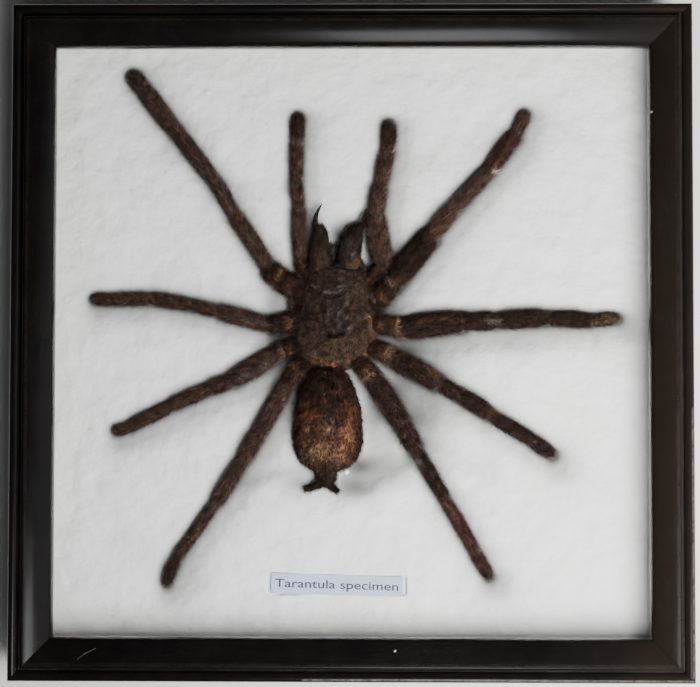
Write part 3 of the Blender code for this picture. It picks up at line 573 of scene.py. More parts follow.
COATS = {  # colours of the skin and its hairs
    "umber": (0.0475, 0.0292, 0.0238),
    "dark": (0.0178, 0.0109, 0.0094),
    "brown": (0.0270, 0.0165, 0.0140),
    "black": (0.0165, 0.0118, 0.0108),
    "hip": (0.0185, 0.0106, 0.0080),
    "maroon": (0.0380, 0.0185, 0.0165),
    "olive": (0.0350, 0.0262, 0.0165),
    "rust": (0.0470, 0.0255, 0.0175),
    "ochre": (0.0540, 0.0300, 0.0175),
    "amber": (0.1500, 0.0800, 0.0310),
    "tan": (0.1200, 0.0740, 0.0520),
    "pink": (0.1050, 0.0680, 0.0600),
    "ash": (0.0620, 0.0520, 0.0480),
    "bone": (0.2600, 0.2200, 0.1900),
    "membrane": (0.0420, 0.0280, 0.0220),
}


# ---------------------------------------------------------------- modelling helpers


def begin(add, **settings):
    """Adds a primitive with nothing else selected, and opens it in edit mode."""
    bpy.ops.object.select_all(action="DESELECT")
    add(**settings)
    bpy.ops.object.mode_set(mode="EDIT")
    return bpy.context.object


def close(obj):
    """Turns the faces outwards, leaves edit mode and puts the object's place into its mesh."""
    bpy.ops.mesh.select_all(action="SELECT")
    bpy.ops.mesh.normals_make_consistent(inside=False)
    bpy.ops.object.mode_set(mode="OBJECT")
    bpy.ops.object.transform_apply(location=True, rotation=True, scale=True)
    return obj


def pick(obj, kind, test):
    """Selects, in edit mode, only the vertices, edges or faces that pass the test."""
    bpy.ops.mesh.select_all(action="DESELECT")
    shape = bmesh.from_edit_mesh(obj.data)
    for element in getattr(shape, kind):
        if test(element):
            element.select_set(True)
    bmesh.update_edit_mesh(obj.data)


def make_active(obj):
    bpy.ops.object.select_all(action="DESELECT")
    obj.select_set(True)
    bpy.context.view_layer.objects.active = obj


def apply_modifier(obj, kind, **settings):
    make_active(obj)
    modifier = obj.modifiers.new(kind.lower(), kind)
    for name, value in settings.items():
        setattr(modifier, name, value)
    bpy.ops.object.modifier_apply(modifier=modifier.name)


def smooth_out(obj, levels):
    apply_modifier(obj, "SUBSURF", levels=levels, render_levels=levels)


def roughen(obj, size, strength, direction="NORMAL", group=""):
    """Pushes the surface in and out by a cloudy pattern of that size."""
    clouds = bpy.data.textures.new("clouds", "CLOUDS")
    clouds.noise_scale = size
    clouds.noise_depth = 2
    where = {"direction": direction, "texture_coords": "LOCAL", "vertex_group": group}
    apply_modifier(obj, "DISPLACE", texture=clouds, strength=strength, **where)


def shade(obj, angle=None):
    make_active(obj)
    if angle is None:
        bpy.ops.object.shade_smooth()
    else:
        bpy.ops.object.shade_smooth_by_angle(angle=math.radians(angle))


def join(target, *others):
    make_active(target)
    for other in others:
        other.select_set(True)
    bpy.ops.object.join()
    return target


def settle(obj, name, material, slot, *nodes):
    """Names a finished piece, gives it its material and lets it ride and stand for its CAD nodes."""
    obj.name = name
    obj.data.name = name
    if not obj.data.materials:
        obj.data.materials.append(material)
    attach(obj, "root")
    if nodes:
        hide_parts(*nodes)
    return obj


def points_of(obj):
    places = np.empty(len(obj.data.vertices) * 3)
    obj.data.vertices.foreach_get("co", places)
    return places.reshape(-1, 3)


def move_points(obj, places):
    obj.data.vertices.foreach_set("co", places.ravel())
    obj.data.update()


def store(obj, name, kind, values):
    """Keeps a value for each point of the mesh, for its material to read."""
    field = {"FLOAT": "value", "FLOAT_VECTOR": "vector", "FLOAT_COLOR": "color"}[kind]
    attribute = obj.data.attributes.new(name, kind, "POINT")
    attribute.data.foreach_set(field, np.asarray(values, np.float32).ravel())


def loft(sections, sides):
    """Extrudes a ring through sections of (centre, heading, half width, half height), closed at both ends."""
    centre, heading, wide, high = sections[0]
    upright = (math.pi / 2, 0.0, heading + math.pi / 2)
    circle = {"vertices": sides, "radius": wide, "fill_type": "NGON", "location": centre, "rotation": upright}
    obj = begin(bpy.ops.mesh.primitive_circle_add, **circle)
    bpy.ops.transform.resize(value=(1.0, 1.0, high / wide), center_override=centre)
    for next_centre, next_heading, next_wide, next_high in sections[1:]:
        bpy.ops.mesh.extrude_region_move(TRANSFORM_OT_translate={"value": next_centre - centre})
        turn = (next_heading - heading + math.pi) % (2 * math.pi) - math.pi
        bpy.ops.transform.rotate(value=-turn, orient_axis="Z", center_override=next_centre)
        across, up = next_wide / wide, next_high / high
        bpy.ops.transform.resize(value=(across, across, up), center_override=next_centre)
        centre, heading, wide, high = next_centre, next_heading, next_wide, next_high
    return close(obj)


# ---------------------------------------------------------------- shader helpers


def connect(tree, socket, value):
    if isinstance(value, bpy.types.NodeSocket):
        tree.links.new(value, socket)
    else:
        socket.default_value = value


def add_node(tree, kind, settings=None, **inputs):
    """Adds a shader node. An input takes a plain value or another node's socket."""
    node = tree.nodes.new("ShaderNode" + kind)
    for name, value in (settings or {}).items():
        setattr(node, name, value)
    for name, value in inputs.items():
        connect(tree, node.inputs[name.replace("_", " ")], value)
    return node


def calculate(tree, operation, *values):
    node = add_node(tree, "Math", {"operation": operation})
    for socket, value in zip(node.inputs, values):
        connect(tree, socket, value)
    return node.outputs[0]


def calculate_vector(tree, operation, *values):
    node = add_node(tree, "VectorMath", {"operation": operation})
    for socket, value in zip(node.inputs, values):
        connect(tree, socket, value)
    return node.outputs["Value" if operation in ("LENGTH", "DOT_PRODUCT", "DISTANCE") else "Vector"]


def blend(tree, factor, first, second, how="MIX"):
    node = add_node(tree, "Mix", {"data_type": "RGBA", "blend_type": how, "clamp_result": False})
    for index, value in ((0, factor), (6, first), (7, second)):
        connect(tree, node.inputs[index], value)
    return node.outputs[2]


def fade(tree, value, low, high, start=0.0, end=1.0):
    """A smooth step of the value from start at low to end at high."""
    node = add_node(tree, "MapRange", {"interpolation_type": "SMOOTHSTEP"})
    for socket, number in zip(node.inputs, (value, low, high, start, end)):
        connect(tree, socket, number)
    return node.outputs[0]


def place_in(tree):
    return add_node(tree, "TexCoord").outputs["Object"]


def attribute_in(tree, name, output="Vector"):
    return add_node(tree, "Attribute", {"attribute_name": name}).outputs[output]


def colour(*values):
    return (*values, 1.0)


def bump(tree, height, distance, strength):
    return add_node(tree, "Bump", Strength=strength, Distance=distance, Height=height).outputs["Normal"]


def new_material(name, **constants):
    """A material with its shader, on which the values that are the same all over are set."""
    material = bpy.data.materials.new(name)
    material.use_nodes = True
    shader = material.node_tree.nodes["Principled BSDF"]
    for label, value in constants.items():
        shader.inputs[label.replace("_", " ")].default_value = value
    return material, material.node_tree, shader


def finish_material(tree, shader, **outputs):
    for label, value in outputs.items():
        tree.links.new(value, shader.inputs[label.replace("_", " ")])


def new_group(name, inputs, outputs):
    tree = bpy.data.node_groups.new(name, "ShaderNodeTree")
    for label, kind in inputs.items():
        tree.interface.new_socket(label, in_out="INPUT", socket_type="NodeSocket" + kind)
    for label, kind in outputs.items():
        tree.interface.new_socket(label, in_out="OUTPUT", socket_type="NodeSocket" + kind)
    return tree, tree.nodes.new("NodeGroupInput").outputs, tree.nodes.new("NodeGroupOutput").inputs


def use_group(tree, group, output, **inputs):
    node = tree.nodes.new("ShaderNodeGroup")
    node.node_tree = group
    for label, value in inputs.items():
        connect(tree, node.inputs[label.replace("_", " ")], value)
    return node.outputs[output]


def make_mottle():
    """Cloudy patches: a coarse and a fine pattern together, from 0 to 1, harder with a smaller Softness."""
    sockets = {"Vector": "Vector", "Scale": "Float", "Softness": "Float"}
    tree, given, result = new_group("mottle", sockets, {"Mask": "Float"})
    coarse = add_node(tree, "TexNoise", Vector=given["Vector"], Scale=given["Scale"], Detail=3.0).outputs[0]
    finer = calculate(tree, "MULTIPLY", given["Scale"], 4.7)
    fine = add_node(tree, "TexNoise", Vector=given["Vector"], Scale=finer, Detail=4.0).outputs[0]
    both = calculate(tree, "MULTIPLY_ADD", fine, 0.4, calculate(tree, "MULTIPLY", coarse, 0.6))
    low = calculate(tree, "SUBTRACT", 0.5, given["Softness"])
    high = calculate(tree, "ADD", 0.5, given["Softness"])
    tree.links.new(fade(tree, both, low, high), result["Mask"])
    return tree


def make_fibres():
    """Long thin streaks, drawn out by the Stretch vector: grain, brushed metal, felt and short hair."""
    tree, given, result = new_group("fibres", {"Vector": "Vector", "Stretch": "Vector"}, {"Height": "Float"})
    stretched = calculate_vector(tree, "MULTIPLY", given["Vector"], given["Stretch"])
    pattern = {"Scale": 1.0, "Detail": 5.0, "Roughness": 0.6, "Distortion": 0.3}
    streaks = add_node(tree, "TexNoise", Vector=stretched, **pattern)
    tree.links.new(streaks.outputs[0], result["Height"])
    return tree


def make_dust():
    """Fine pale specks that gather in cloudy patches, thicker on faces that look up."""
    tree, given, result = new_group("dust", {"Vector": "Vector", "Amount": "Float"}, {"Mask": "Float"})
    specks = add_node(tree, "TexNoise", Vector=given["Vector"], Scale=3200.0, Detail=2.0).outputs[0]
    patches = add_node(tree, "TexNoise", Vector=given["Vector"], Scale=60.0, Detail=3.0).outputs[0]
    up = add_node(tree, "SeparateXYZ", Vector=add_node(tree, "NewGeometry").outputs["Normal"]).outputs["Z"]
    lying = calculate(tree, "MULTIPLY", fade(tree, specks, 0.52, 0.74), fade(tree, patches, 0.35, 0.7))
    lying = calculate(tree, "MULTIPLY", lying, fade(tree, up, -0.2, 1.0, 0.25, 1.0))
    tree.links.new(calculate(tree, "MULTIPLY", lying, given["Amount"]), result["Mask"])
    return tree


def line_mask(tree, place, start, end, reach):
    """1 on the line from start to end, seen along Z, and 0 beyond its reach."""
    flat = calculate_vector(tree, "MULTIPLY", place, (1.0, 1.0, 0.0))
    offset = calculate_vector(tree, "SUBTRACT", flat, start)
    along = end - start
    reached = calculate_vector(tree, "DOT_PRODUCT", offset, along)
    share = calculate(tree, "DIVIDE", reached, along.length_squared)
    share = add_node(tree, "Clamp", Value=share).outputs[0]
    nearest = add_node(tree, "VectorMath", {"operation": "SCALE"}, Vector=along, Scale=share).outputs[0]
    distance = calculate_vector(tree, "DISTANCE", offset, nearest)
    return fade(tree, distance, 0.15 * reach, reach, 1.0, 0.0)


# ---------------------------------------------------------------- materials


def flat_place(point):
    """A point given in millimetres from above, in metres."""
    return Vector((*point, 0.0)) * MM


def ridge_mask(tree, across, middle, full, none):
    """1 along a line of the moulding, and 0 at the distance none from it."""
    away = calculate(tree, "ABSOLUTE", calculate(tree, "SUBTRACT", across, middle))
    return fade(tree, away, full, none, 1.0, 0.0)


def scratches_specks_and_glints(tree, place, rubs, chips, on_front):
    """The pale marks in the lacquer: a bent scratch, two specks and the painted highlights along a mitre and
    the outer edge.
    """
    lines = zip(SCRATCH, SCRATCH[1:], SCRATCH_REACHES)
    bent = [line_mask(tree, place, flat_place(a), flat_place(b), reach * MM) for a, b, reach in lines]
    scratch = calculate(tree, "MAXIMUM", *bent)
    marks = calculate(tree, "MULTIPLY", scratch, fade(tree, rubs, 0.1, 0.7, 0.04, 0.13))
    for speck in SPECKS:
        start = flat_place(speck)
        spot = line_mask(tree, place, start, start + flat_place(SPECK_LENGTH), SPECK_REACH * MM)
        marks = calculate(tree, "MAXIMUM", marks, spot)
    # Painted highlights: pale lines along the top left mitre and the lit outer edges, broken where the paint
    # is worn.
    for start, end, reach, strength in GLINT_LINES:
        line = line_mask(tree, place, flat_place(start), flat_place(end), reach * MM)
        glint = calculate(tree, "MULTIPLY", calculate(tree, "MULTIPLY", line, chips), on_front)
        marks = calculate(tree, "MAXIMUM", marks, calculate(tree, "MULTIPLY", glint, strength))
    return marks


def make_lacquer(mottle, fibres, dust):
    """Black lacquer over wood: faint grain, rubbed crest and sight edge, dust in the groove, scratches,
    painted highlights on the edges and a painted warm reflection on the right.
    """
    material, tree, shader = new_material("black_lacquer", Specular_IOR_Level=0.5, Coat_Weight=0.25)
    shader.inputs["Coat Roughness"].default_value = 0.18
    place = place_in(tree)
    rail = attribute_in(tree, "rail_place")  # along the rail, in from its outer face, height
    from_outside = add_node(tree, "SeparateXYZ", Vector=rail).outputs["Y"]
    height = add_node(tree, "SeparateXYZ", Vector=rail).outputs["Z"]
    high = fade(tree, height, BEAD_CENTRE_HEIGHT, BEAD_CENTRE_HEIGHT + 0.7 * MM)
    on_front = calculate(tree, "MAXIMUM", high, fade(tree, from_outside, 2.0 * MM, 3.0 * MM))

    grain = use_group(tree, fibres, "Height", Vector=rail, Stretch=(90.0, 2200.0, 2200.0))
    clouds = use_group(tree, mottle, "Mask", Vector=rail, Scale=55.0, Softness=0.22)
    black, brown = colour(0.0026, 0.0024, 0.0026), colour(0.0054, 0.0042, 0.0037)
    paint = blend(tree, clouds, black, brown)
    paint = blend(tree, fade(tree, grain, 0.42, 0.75, 0.0, 0.5), paint, colour(0.0062, 0.0048, 0.0042))
    # Painted reflection: towards +X the paint turns browner, most on the right rail, for the warm reflection
    # there.
    to_right = add_node(tree, "SeparateXYZ", Vector=place).outputs["X"]
    warm_reflection = fade(tree, to_right, 60.0 * MM, 96.0 * MM, 0.0, 0.50)
    paint = blend(tree, warm_reflection, paint, colour(0.0125, 0.0092, 0.0068))

    rubs = use_group(tree, mottle, "Mask", Vector=rail, Scale=240.0, Softness=0.30)
    crest = ridge_mask(tree, from_outside, CREST_AT, 0.1 * MM, 0.9 * MM)
    sight = ridge_mask(tree, from_outside, RAIL_WIDTH, 0.05 * MM, 0.45 * MM)
    worn = calculate(tree, "MULTIPLY", calculate(tree, "MAXIMUM", crest, sight), rubs)
    paint = blend(tree, calculate(tree, "MULTIPLY", worn, 0.25), paint, colour(0.024, 0.018, 0.015))

    in_groove = ridge_mask(tree, from_outside, GROOVE_AT, 0.05 * MM, 0.35 * MM)
    settled = calculate(tree, "MULTIPLY", in_groove, clouds)
    dusty = use_group(tree, dust, "Mask", Vector=place, Amount=0.15)
    grey = calculate(tree, "MAXIMUM", calculate(tree, "MULTIPLY", settled, 0.35), dusty)
    paint = blend(tree, grey, paint, colour(0.060, 0.057, 0.054))

    chips = use_group(tree, mottle, "Mask", Vector=place, Scale=900.0, Softness=0.25)
    marks = scratches_specks_and_glints(tree, place, rubs, chips, on_front)
    paint = blend(tree, marks, paint, colour(0.34, 0.33, 0.31))

    rough = calculate(tree, "MULTIPLY_ADD", clouds, 0.07, 0.18)
    dull = calculate(tree, "MULTIPLY", calculate(tree, "MAXIMUM", worn, grey), 0.25)
    rough = calculate(tree, "ADD", rough, dull)
    relief = calculate(tree, "MULTIPLY_ADD", grain, 0.5, calculate(tree, "MULTIPLY", clouds, 0.6))
    relief = calculate(tree, "SUBTRACT", relief, calculate(tree, "MULTIPLY", marks, 2.0))
    normal = bump(tree, relief, 0.03 * MM, 0.5)
    finish_material(tree, shader, Base_Color=paint, Roughness=rough, Normal=normal)
    return material


def make_glass(mottle):
    """Clear pane with faint smears. Shadow rays pass it, so that the light reaches the specimen."""
    material, tree, shader = new_material("clear_glass", Transmission_Weight=1.0, IOR=1.45, Roughness=0.015)
    shader.inputs["Base Color"].default_value = colour(0.985, 0.992, 0.988)
    smears = use_group(tree, mottle, "Mask", Vector=place_in(tree), Scale=30.0, Softness=0.3)
    finish_material(tree, shader, Normal=bump(tree, smears, 0.002 * MM, 0.3))
    clear = add_node(tree, "BsdfTransparent", Color=colour(0.95, 0.96, 0.955))
    shadow = add_node(tree, "LightPath").outputs["Is Shadow Ray"]
    mixed = add_node(tree, "MixShader", Fac=shadow)
    tree.links.new(shader.outputs[0], mixed.inputs[1])
    tree.links.new(clear.outputs[0], mixed.inputs[2])
    tree.links.new(mixed.outputs[0], tree.nodes["Material Output"].inputs["Surface"])
    return material


def make_card(mottle, fibres):
    """Mounting card, toned dark brownish grey as painted shade under the lip, with a soft pulp surface."""
    material, tree, shader = new_material("white_card")
    place = place_in(tree)
    pulp = use_group(tree, fibres, "Height", Vector=place, Stretch=(1500.0, 1500.0, 1500.0))
    clouds = use_group(tree, mottle, "Mask", Vector=place, Scale=90.0, Softness=0.25)
    # Painted shade: the card is far darker than white card, as if it lay in the lip's shade.
    paint = blend(tree, clouds, colour(0.21, 0.165, 0.130), colour(0.27, 0.215, 0.170))
    rough = fade(tree, pulp, 0.3, 0.7, 0.78, 0.92)
    finish_material(tree, shader, Base_Color=paint, Roughness=rough, Normal=bump(tree, pulp, 0.04 * MM, 0.5))
    return material


def make_hardboard(mottle, fibres, dust):
    """Pressed brown board: matted wood fibres under the fine net of the press screen."""
    material, tree, shader = new_material("brown_hardboard")
    place = place_in(tree)
    matted = use_group(tree, fibres, "Height", Vector=place, Stretch=(700.0, 1600.0, 900.0))
    clouds = use_group(tree, mottle, "Mask", Vector=place, Scale=70.0, Softness=0.22)
    waves = {"Vector": place, "Scale": 260.0, "Distortion": 0.8}
    threads = [add_node(tree, "TexWave", {"bands_direction": way}, **waves) for way in ("X", "Y")]
    net = calculate(tree, "MULTIPLY", *[thread.outputs["Fac"] for thread in threads])
    paint = blend(tree, clouds, colour(0.115, 0.062, 0.034), colour(0.19, 0.112, 0.064))
    paint = blend(tree, fade(tree, matted, 0.5, 0.72), paint, colour(0.27, 0.175, 0.10))
    dusty = use_group(tree, dust, "Mask", Vector=place, Amount=0.4)
    paint = blend(tree, dusty, paint, colour(0.42, 0.38, 0.33))
    rough = fade(tree, matted, 0.3, 0.7, 0.66, 0.88)
    height = calculate(tree, "MULTIPLY_ADD", net, 0.8, calculate(tree, "MULTIPLY", matted, 0.6))
    normal = bump(tree, height, 0.12 * MM, 0.8)
    finish_material(tree, shader, Base_Color=paint, Roughness=rough, Normal=normal)
    return material


def make_zinc(mottle, fibres, dust):
    """Zinc plated steel strip: brushed, with dull patches."""
    material, tree, shader = new_material("zinc_steel", Metallic=1.0)
    place = place_in(tree)
    brushed = use_group(tree, fibres, "Height", Vector=place, Stretch=(300.0, 5200.0, 5200.0))
    dull = use_group(tree, mottle, "Mask", Vector=place, Scale=170.0, Softness=0.18)
    paint = blend(tree, dull, colour(0.60, 0.60, 0.59), colour(0.42, 0.41, 0.39))
    dusty = use_group(tree, dust, "Mask", Vector=place, Amount=0.5)
    paint = blend(tree, dusty, paint, colour(0.34, 0.30, 0.26))
    rough = calculate(tree, "MULTIPLY_ADD", dull, 0.16, fade(tree, brushed, 0.3, 0.7, 0.26, 0.40))
    normal = bump(tree, brushed, 0.02 * MM, 0.5)
    finish_material(tree, shader, Base_Color=paint, Roughness=rough, Normal=normal)
    return material


def make_felt(mottle, fibres):
    """Needled white cotton: matted fibres in two directions, faint clouds, and painted shade beside the
    specimen.
    """
    material, tree, shader = new_material("white_felt", Sheen_Weight=0.25, Sheen_Roughness=0.6)
    shader.inputs["Specular IOR Level"].default_value = 0.12
    place = place_in(tree)
    one_way = use_group(tree, fibres, "Height", Vector=place, Stretch=(420.0, 1500.0, 900.0))
    other_way = use_group(tree, fibres, "Height", Vector=place, Stretch=(1700.0, 380.0, 900.0))
    matted = calculate(tree, "MAXIMUM", one_way, other_way)
    lumps = use_group(tree, mottle, "Mask", Vector=place, Scale=160.0, Softness=0.24)
    clouds = use_group(tree, mottle, "Mask", Vector=place, Scale=22.0, Softness=0.3)
    paint = blend(tree, clouds, colour(0.705, 0.715, 0.725), colour(0.745, 0.745, 0.735))
    paint = blend(tree, fade(tree, matted, 0.45, 0.75, 0.0, 0.35), paint, colour(0.83, 0.83, 0.83))
    painted_shade = attribute_in(tree, "painted_shade", "Fac")
    # Painted shade: the felt is darkened round the body and the limbs.
    paint = blend(tree, painted_shade, paint, colour(0.020, 0.018, 0.017))
    rough = fade(tree, matted, 0.3, 0.8, 0.90, 1.0)
    height = calculate(tree, "MULTIPLY_ADD", matted, 0.6, calculate(tree, "MULTIPLY", lumps, 0.8))
    normal = bump(tree, height, 0.34 * MM, 0.9)
    finish_material(tree, shader, Base_Color=paint, Roughness=rough, Normal=normal)
    return material


def make_loose_fibre(mottle):
    """Single cotton fibres that stand off the pad."""
    material, tree, shader = new_material("cotton_fibre", Sheen_Weight=0.2)
    streaks = use_group(tree, mottle, "Mask", Vector=place_in(tree), Scale=900.0, Softness=0.2)
    paint = blend(tree, streaks, colour(0.70, 0.71, 0.72), colour(0.84, 0.84, 0.83))
    rough = fade(tree, streaks, 0.0, 1.0, 0.75, 0.9)
    finish_material(tree, shader, Base_Color=paint, Roughness=rough)
    return material


def make_paper(mottle, fibres):
    """Plain writing paper with a lavender cast."""
    material, tree, shader = new_material("label_paper")
    place = place_in(tree)
    pulp = use_group(tree, fibres, "Height", Vector=place, Stretch=(1300.0, 2600.0, 1300.0))
    clouds = use_group(tree, mottle, "Mask", Vector=place, Scale=120.0, Softness=0.25)
    paint = blend(tree, clouds, colour(0.400, 0.430, 0.610), colour(0.440, 0.470, 0.650))
    rough = fade(tree, pulp, 0.3, 0.7, 0.70, 0.84)
    finish_material(tree, shader, Base_Color=paint, Roughness=rough, Normal=bump(tree, pulp, 0.02 * MM, 0.5))
    return material


def make_ink(mottle):
    """Thin grey toner that breaks up over the paper's fibres."""
    material, tree, shader = new_material("printed_ink")
    broken = use_group(tree, mottle, "Mask", Vector=place_in(tree), Scale=1900.0, Softness=0.2)
    paint = blend(tree, broken, colour(0.022, 0.024, 0.040), colour(0.060, 0.064, 0.095))
    rough = fade(tree, broken, 0.0, 1.0, 0.55, 0.75)
    finish_material(tree, shader, Base_Color=paint, Roughness=rough)
    return material


def make_enamel(mottle):
    """White enamel of the pin's head."""
    material, tree, shader = new_material("white_enamel", Coat_Weight=0.3)
    clouds = use_group(tree, mottle, "Mask", Vector=place_in(tree), Scale=700.0, Softness=0.25)
    paint = blend(tree, clouds, colour(0.74, 0.75, 0.74), colour(0.82, 0.83, 0.82))
    rough = fade(tree, clouds, 0.0, 1.0, 0.28, 0.42)
    finish_material(tree, shader, Base_Color=paint, Roughness=rough)
    return material


def make_skin(name, mottle, fibres, dust, streaks, rough_low, rough_high, relief):
    """Dried skin: the piece's painted colours, broken by streaks and blotches, and dusty above."""
    material, tree, shader = new_material(name)
    shader.inputs["Specular IOR Level"].default_value = 0.16
    place = attribute_in(tree, "grown_place")
    painted = attribute_in(tree, "coat", "Color")
    short_hair = use_group(tree, fibres, "Height", Vector=place, Stretch=streaks)
    blotches = use_group(tree, mottle, "Mask", Vector=place, Scale=420.0, Softness=0.22)
    shadowed = blend(tree, 1.0, painted, colour(0.30, 0.28, 0.28), "MULTIPLY")
    lit = blend(tree, 1.0, painted, colour(2.10, 1.95, 1.85), "MULTIPLY")
    paint = blend(tree, fade(tree, short_hair, 0.36, 0.64), shadowed, lit)
    paint = blend(tree, calculate(tree, "MULTIPLY", blotches, 0.6), paint, shadowed)
    dusty = use_group(tree, dust, "Mask", Vector=place_in(tree), Amount=0.25)
    paint = blend(tree, dusty, paint, colour(0.13, 0.115, 0.10))
    rough = fade(tree, short_hair, 0.3, 0.7, rough_low, rough_high)
    height = calculate(tree, "MULTIPLY_ADD", short_hair, 0.7, calculate(tree, "MULTIPLY", blotches, 0.5))
    finish_material(tree, shader, Base_Color=paint, Roughness=rough, Normal=bump(tree, height, relief, 0.9))
    return material


def make_hair(mottle):
    """Bristles: each strand's painted tones, with a few paler patches."""
    material, tree, shader = new_material("brown_bristle_hair")
    shader.inputs["Specular IOR Level"].default_value = 0.14
    painted = attribute_in(tree, "coat", "Color")
    clouds = use_group(tree, mottle, "Mask", Vector=place_in(tree), Scale=500.0, Softness=0.25)
    faded = blend(tree, 1.0, painted, colour(1.35, 1.25, 1.2), "MULTIPLY")
    paint = blend(tree, clouds, painted, faded)
    rough = fade(tree, clouds, 0.0, 1.0, 0.5, 0.68)
    finish_material(tree, shader, Base_Color=paint, Roughness=rough)
    return material


def make_horn(mottle, fibres):
    """Black polished horn of the fangs and eyes, with fine lines along it."""
    material, tree, shader = new_material("black_horn", Coat_Weight=0.3)
    place = place_in(tree)
    lines = use_group(tree, fibres, "Height", Vector=place, Stretch=(2600.0, 500.0, 2600.0))
    worn = use_group(tree, mottle, "Mask", Vector=place, Scale=520.0, Softness=0.2)
    paint = blend(tree, worn, colour(0.006, 0.0055, 0.006), colour(0.016, 0.011, 0.009))
    rough = fade(tree, lines, 0.3, 0.7, 0.22, 0.38)
    finish_material(tree, shader, Base_Color=paint, Roughness=rough, Normal=bump(tree, lines, 0.03 * MM, 0.4))
    return material


def make_floor(mottle):
    material, tree, shader = new_material("studio_floor")
    clouds = use_group(tree, mottle, "Mask", Vector=place_in(tree), Scale=9.0, Softness=0.3)
    paint = blend(tree, clouds, colour(0.62, 0.61, 0.60), colour(0.66, 0.655, 0.645))
    rough = fade(tree, clouds, 0.0, 1.0, 0.7, 0.85)
    finish_material(tree, shader, Base_Color=paint, Roughness=rough)
    return material


# ---------------------------------------------------------------- frame


def arc(centre, radius, start, end, steps):
    """Points on an arc between two angles in degrees, both ends included."""
    angles = [math.radians(start + (end - start) * step / steps) for step in range(steps + 1)]
    return [(centre[0] + radius * math.cos(a), centre[1] + radius * math.sin(a)) for a in angles]


def moulding_profile():
    """The rail's section: distance in from the outer face, and height from the back."""
    sine = (NOSE_AT - CREST_AT) / CROWN_RADIUS
    cosine = math.sqrt(1.0 - sine * sine)
    slope = math.degrees(math.asin(sine))
    nose_radius = (RAIL_WIDTH - NOSE_AT) / (1.0 - sine)
    nose_height = CROWN_TOP - CROWN_RADIUS * (1.0 - cosine) - nose_radius * cosine
    profile = [(BACK_CHAMFER, 0.0), (0.0, BACK_CHAMFER)]
    profile += arc((BEAD_RADIUS, BEAD_CENTRE_HEIGHT), BEAD_RADIUS, 180.0, 20.0, 14)
    profile += [(CREST_AT - SHOULDER_RADIUS, BEAD_CENTRE_HEIGHT + 0.3 * BEAD_RADIUS)]
    profile += arc((CREST_AT, CROWN_TOP - SHOULDER_RADIUS), SHOULDER_RADIUS, 180.0, 90.0, 8)
    profile += arc((CREST_AT, CROWN_TOP - CROWN_RADIUS), CROWN_RADIUS, 90.0, 90.0 - slope, 10)[1:]
    profile += arc((RAIL_WIDTH - nose_radius, nose_height), nose_radius, 90.0 - slope, 0.0, 8)[1:]
    profile += [(RAIL_WIDTH, LIP_UNDERSIDE)]
    profile += [(RABBET_AT, LIP_UNDERSIDE), (RABBET_AT, BACK_CHAMFER), (RABBET_AT - BACK_CHAMFER, 0.0)]
    return profile


def add_rail(name, turn, length, distance, lacquer):
    """Draws the section at one end, extrudes it along the rail and cuts both mitres."""
    side = Matrix.Rotation(turn, 4, "Z")
    profile = moulding_profile()
    places = [side @ Vector((-length / 2, inwards - distance, height)) for inwards, height in profile]
    along = side.to_3x3() @ Vector((length, 0.0, 0.0))
    rail = begin(bpy.ops.mesh.primitive_plane_add, size=0.2 * MM, location=places[0])
    bpy.ops.mesh.merge(type="CENTER")
    for last, place in zip(places, places[1:]):
        bpy.ops.mesh.extrude_region_move(TRANSFORM_OT_translate={"value": place - last})
    bpy.ops.mesh.select_all(action="SELECT")
    bpy.ops.mesh.edge_face_add()
    bpy.ops.mesh.extrude_region_move(TRANSFORM_OT_translate={"value": along})
    for end in (-1, 1):
        corner = side @ Vector((end * (length / 2 - MITRE_GAP), -distance, 0.0))
        away = side.to_3x3() @ Vector((end, 1.0, 0.0))
        bpy.ops.mesh.select_all(action="SELECT")
        bpy.ops.mesh.bisect(plane_co=corner, plane_no=away, use_fill=True, clear_outer=True)
    close(rail)
    sharp = {"limit_method": "ANGLE", "angle_limit": math.radians(SHARP_EDGE)}
    apply_modifier(rail, "BEVEL", width=RUBBED_EDGE, segments=2, **sharp)
    shade(rail, 40.0)
    back = np.array(side.inverted().to_3x3())
    local = points_of(rail) @ back.T
    local[:, 1] += distance
    store(rail, "rail_place", "FLOAT_VECTOR", local)
    settle(rail, name + "_lacquered", lacquer, "black_lacquer", name)


# ---------------------------------------------------------------- pad, label and pin


def press_round_body(flat):
    """How far the hollow, the dents and the creases press the pad down, and how much of the felt's colour
    their painted shade leaves.
    """
    x, y = flat[:, 0], flat[:, 1]
    far = ((x - HOLLOW_CENTRE.x) / HOLLOW_RADII.x) ** 2 + ((y - HOLLOW_CENTRE.y) / HOLLOW_RADII.y) ** 2
    bowl = HOLLOW_CENTRE.z - HOLLOW_RADII.z * np.sqrt(np.clip(1.0 - far, 0.0, 1.0))
    sunk = np.clip(PAD_TOP / MM - bowl, 0.0, None)
    unshaded = np.ones(len(x))
    for middle, radii, depth, shade_strength in DENTS:
        share = soft_spot(x, y, middle, radii)
        sunk += depth * share
        unshaded *= 1.0 - shade_strength * share
    for start, end, reach, depth, shade_strength in CREASES:
        share = stroke_share(flat, (start, end), reach)
        sunk += depth * share
        unshaded *= 1.0 - shade_strength * share
    return sunk, unshaded


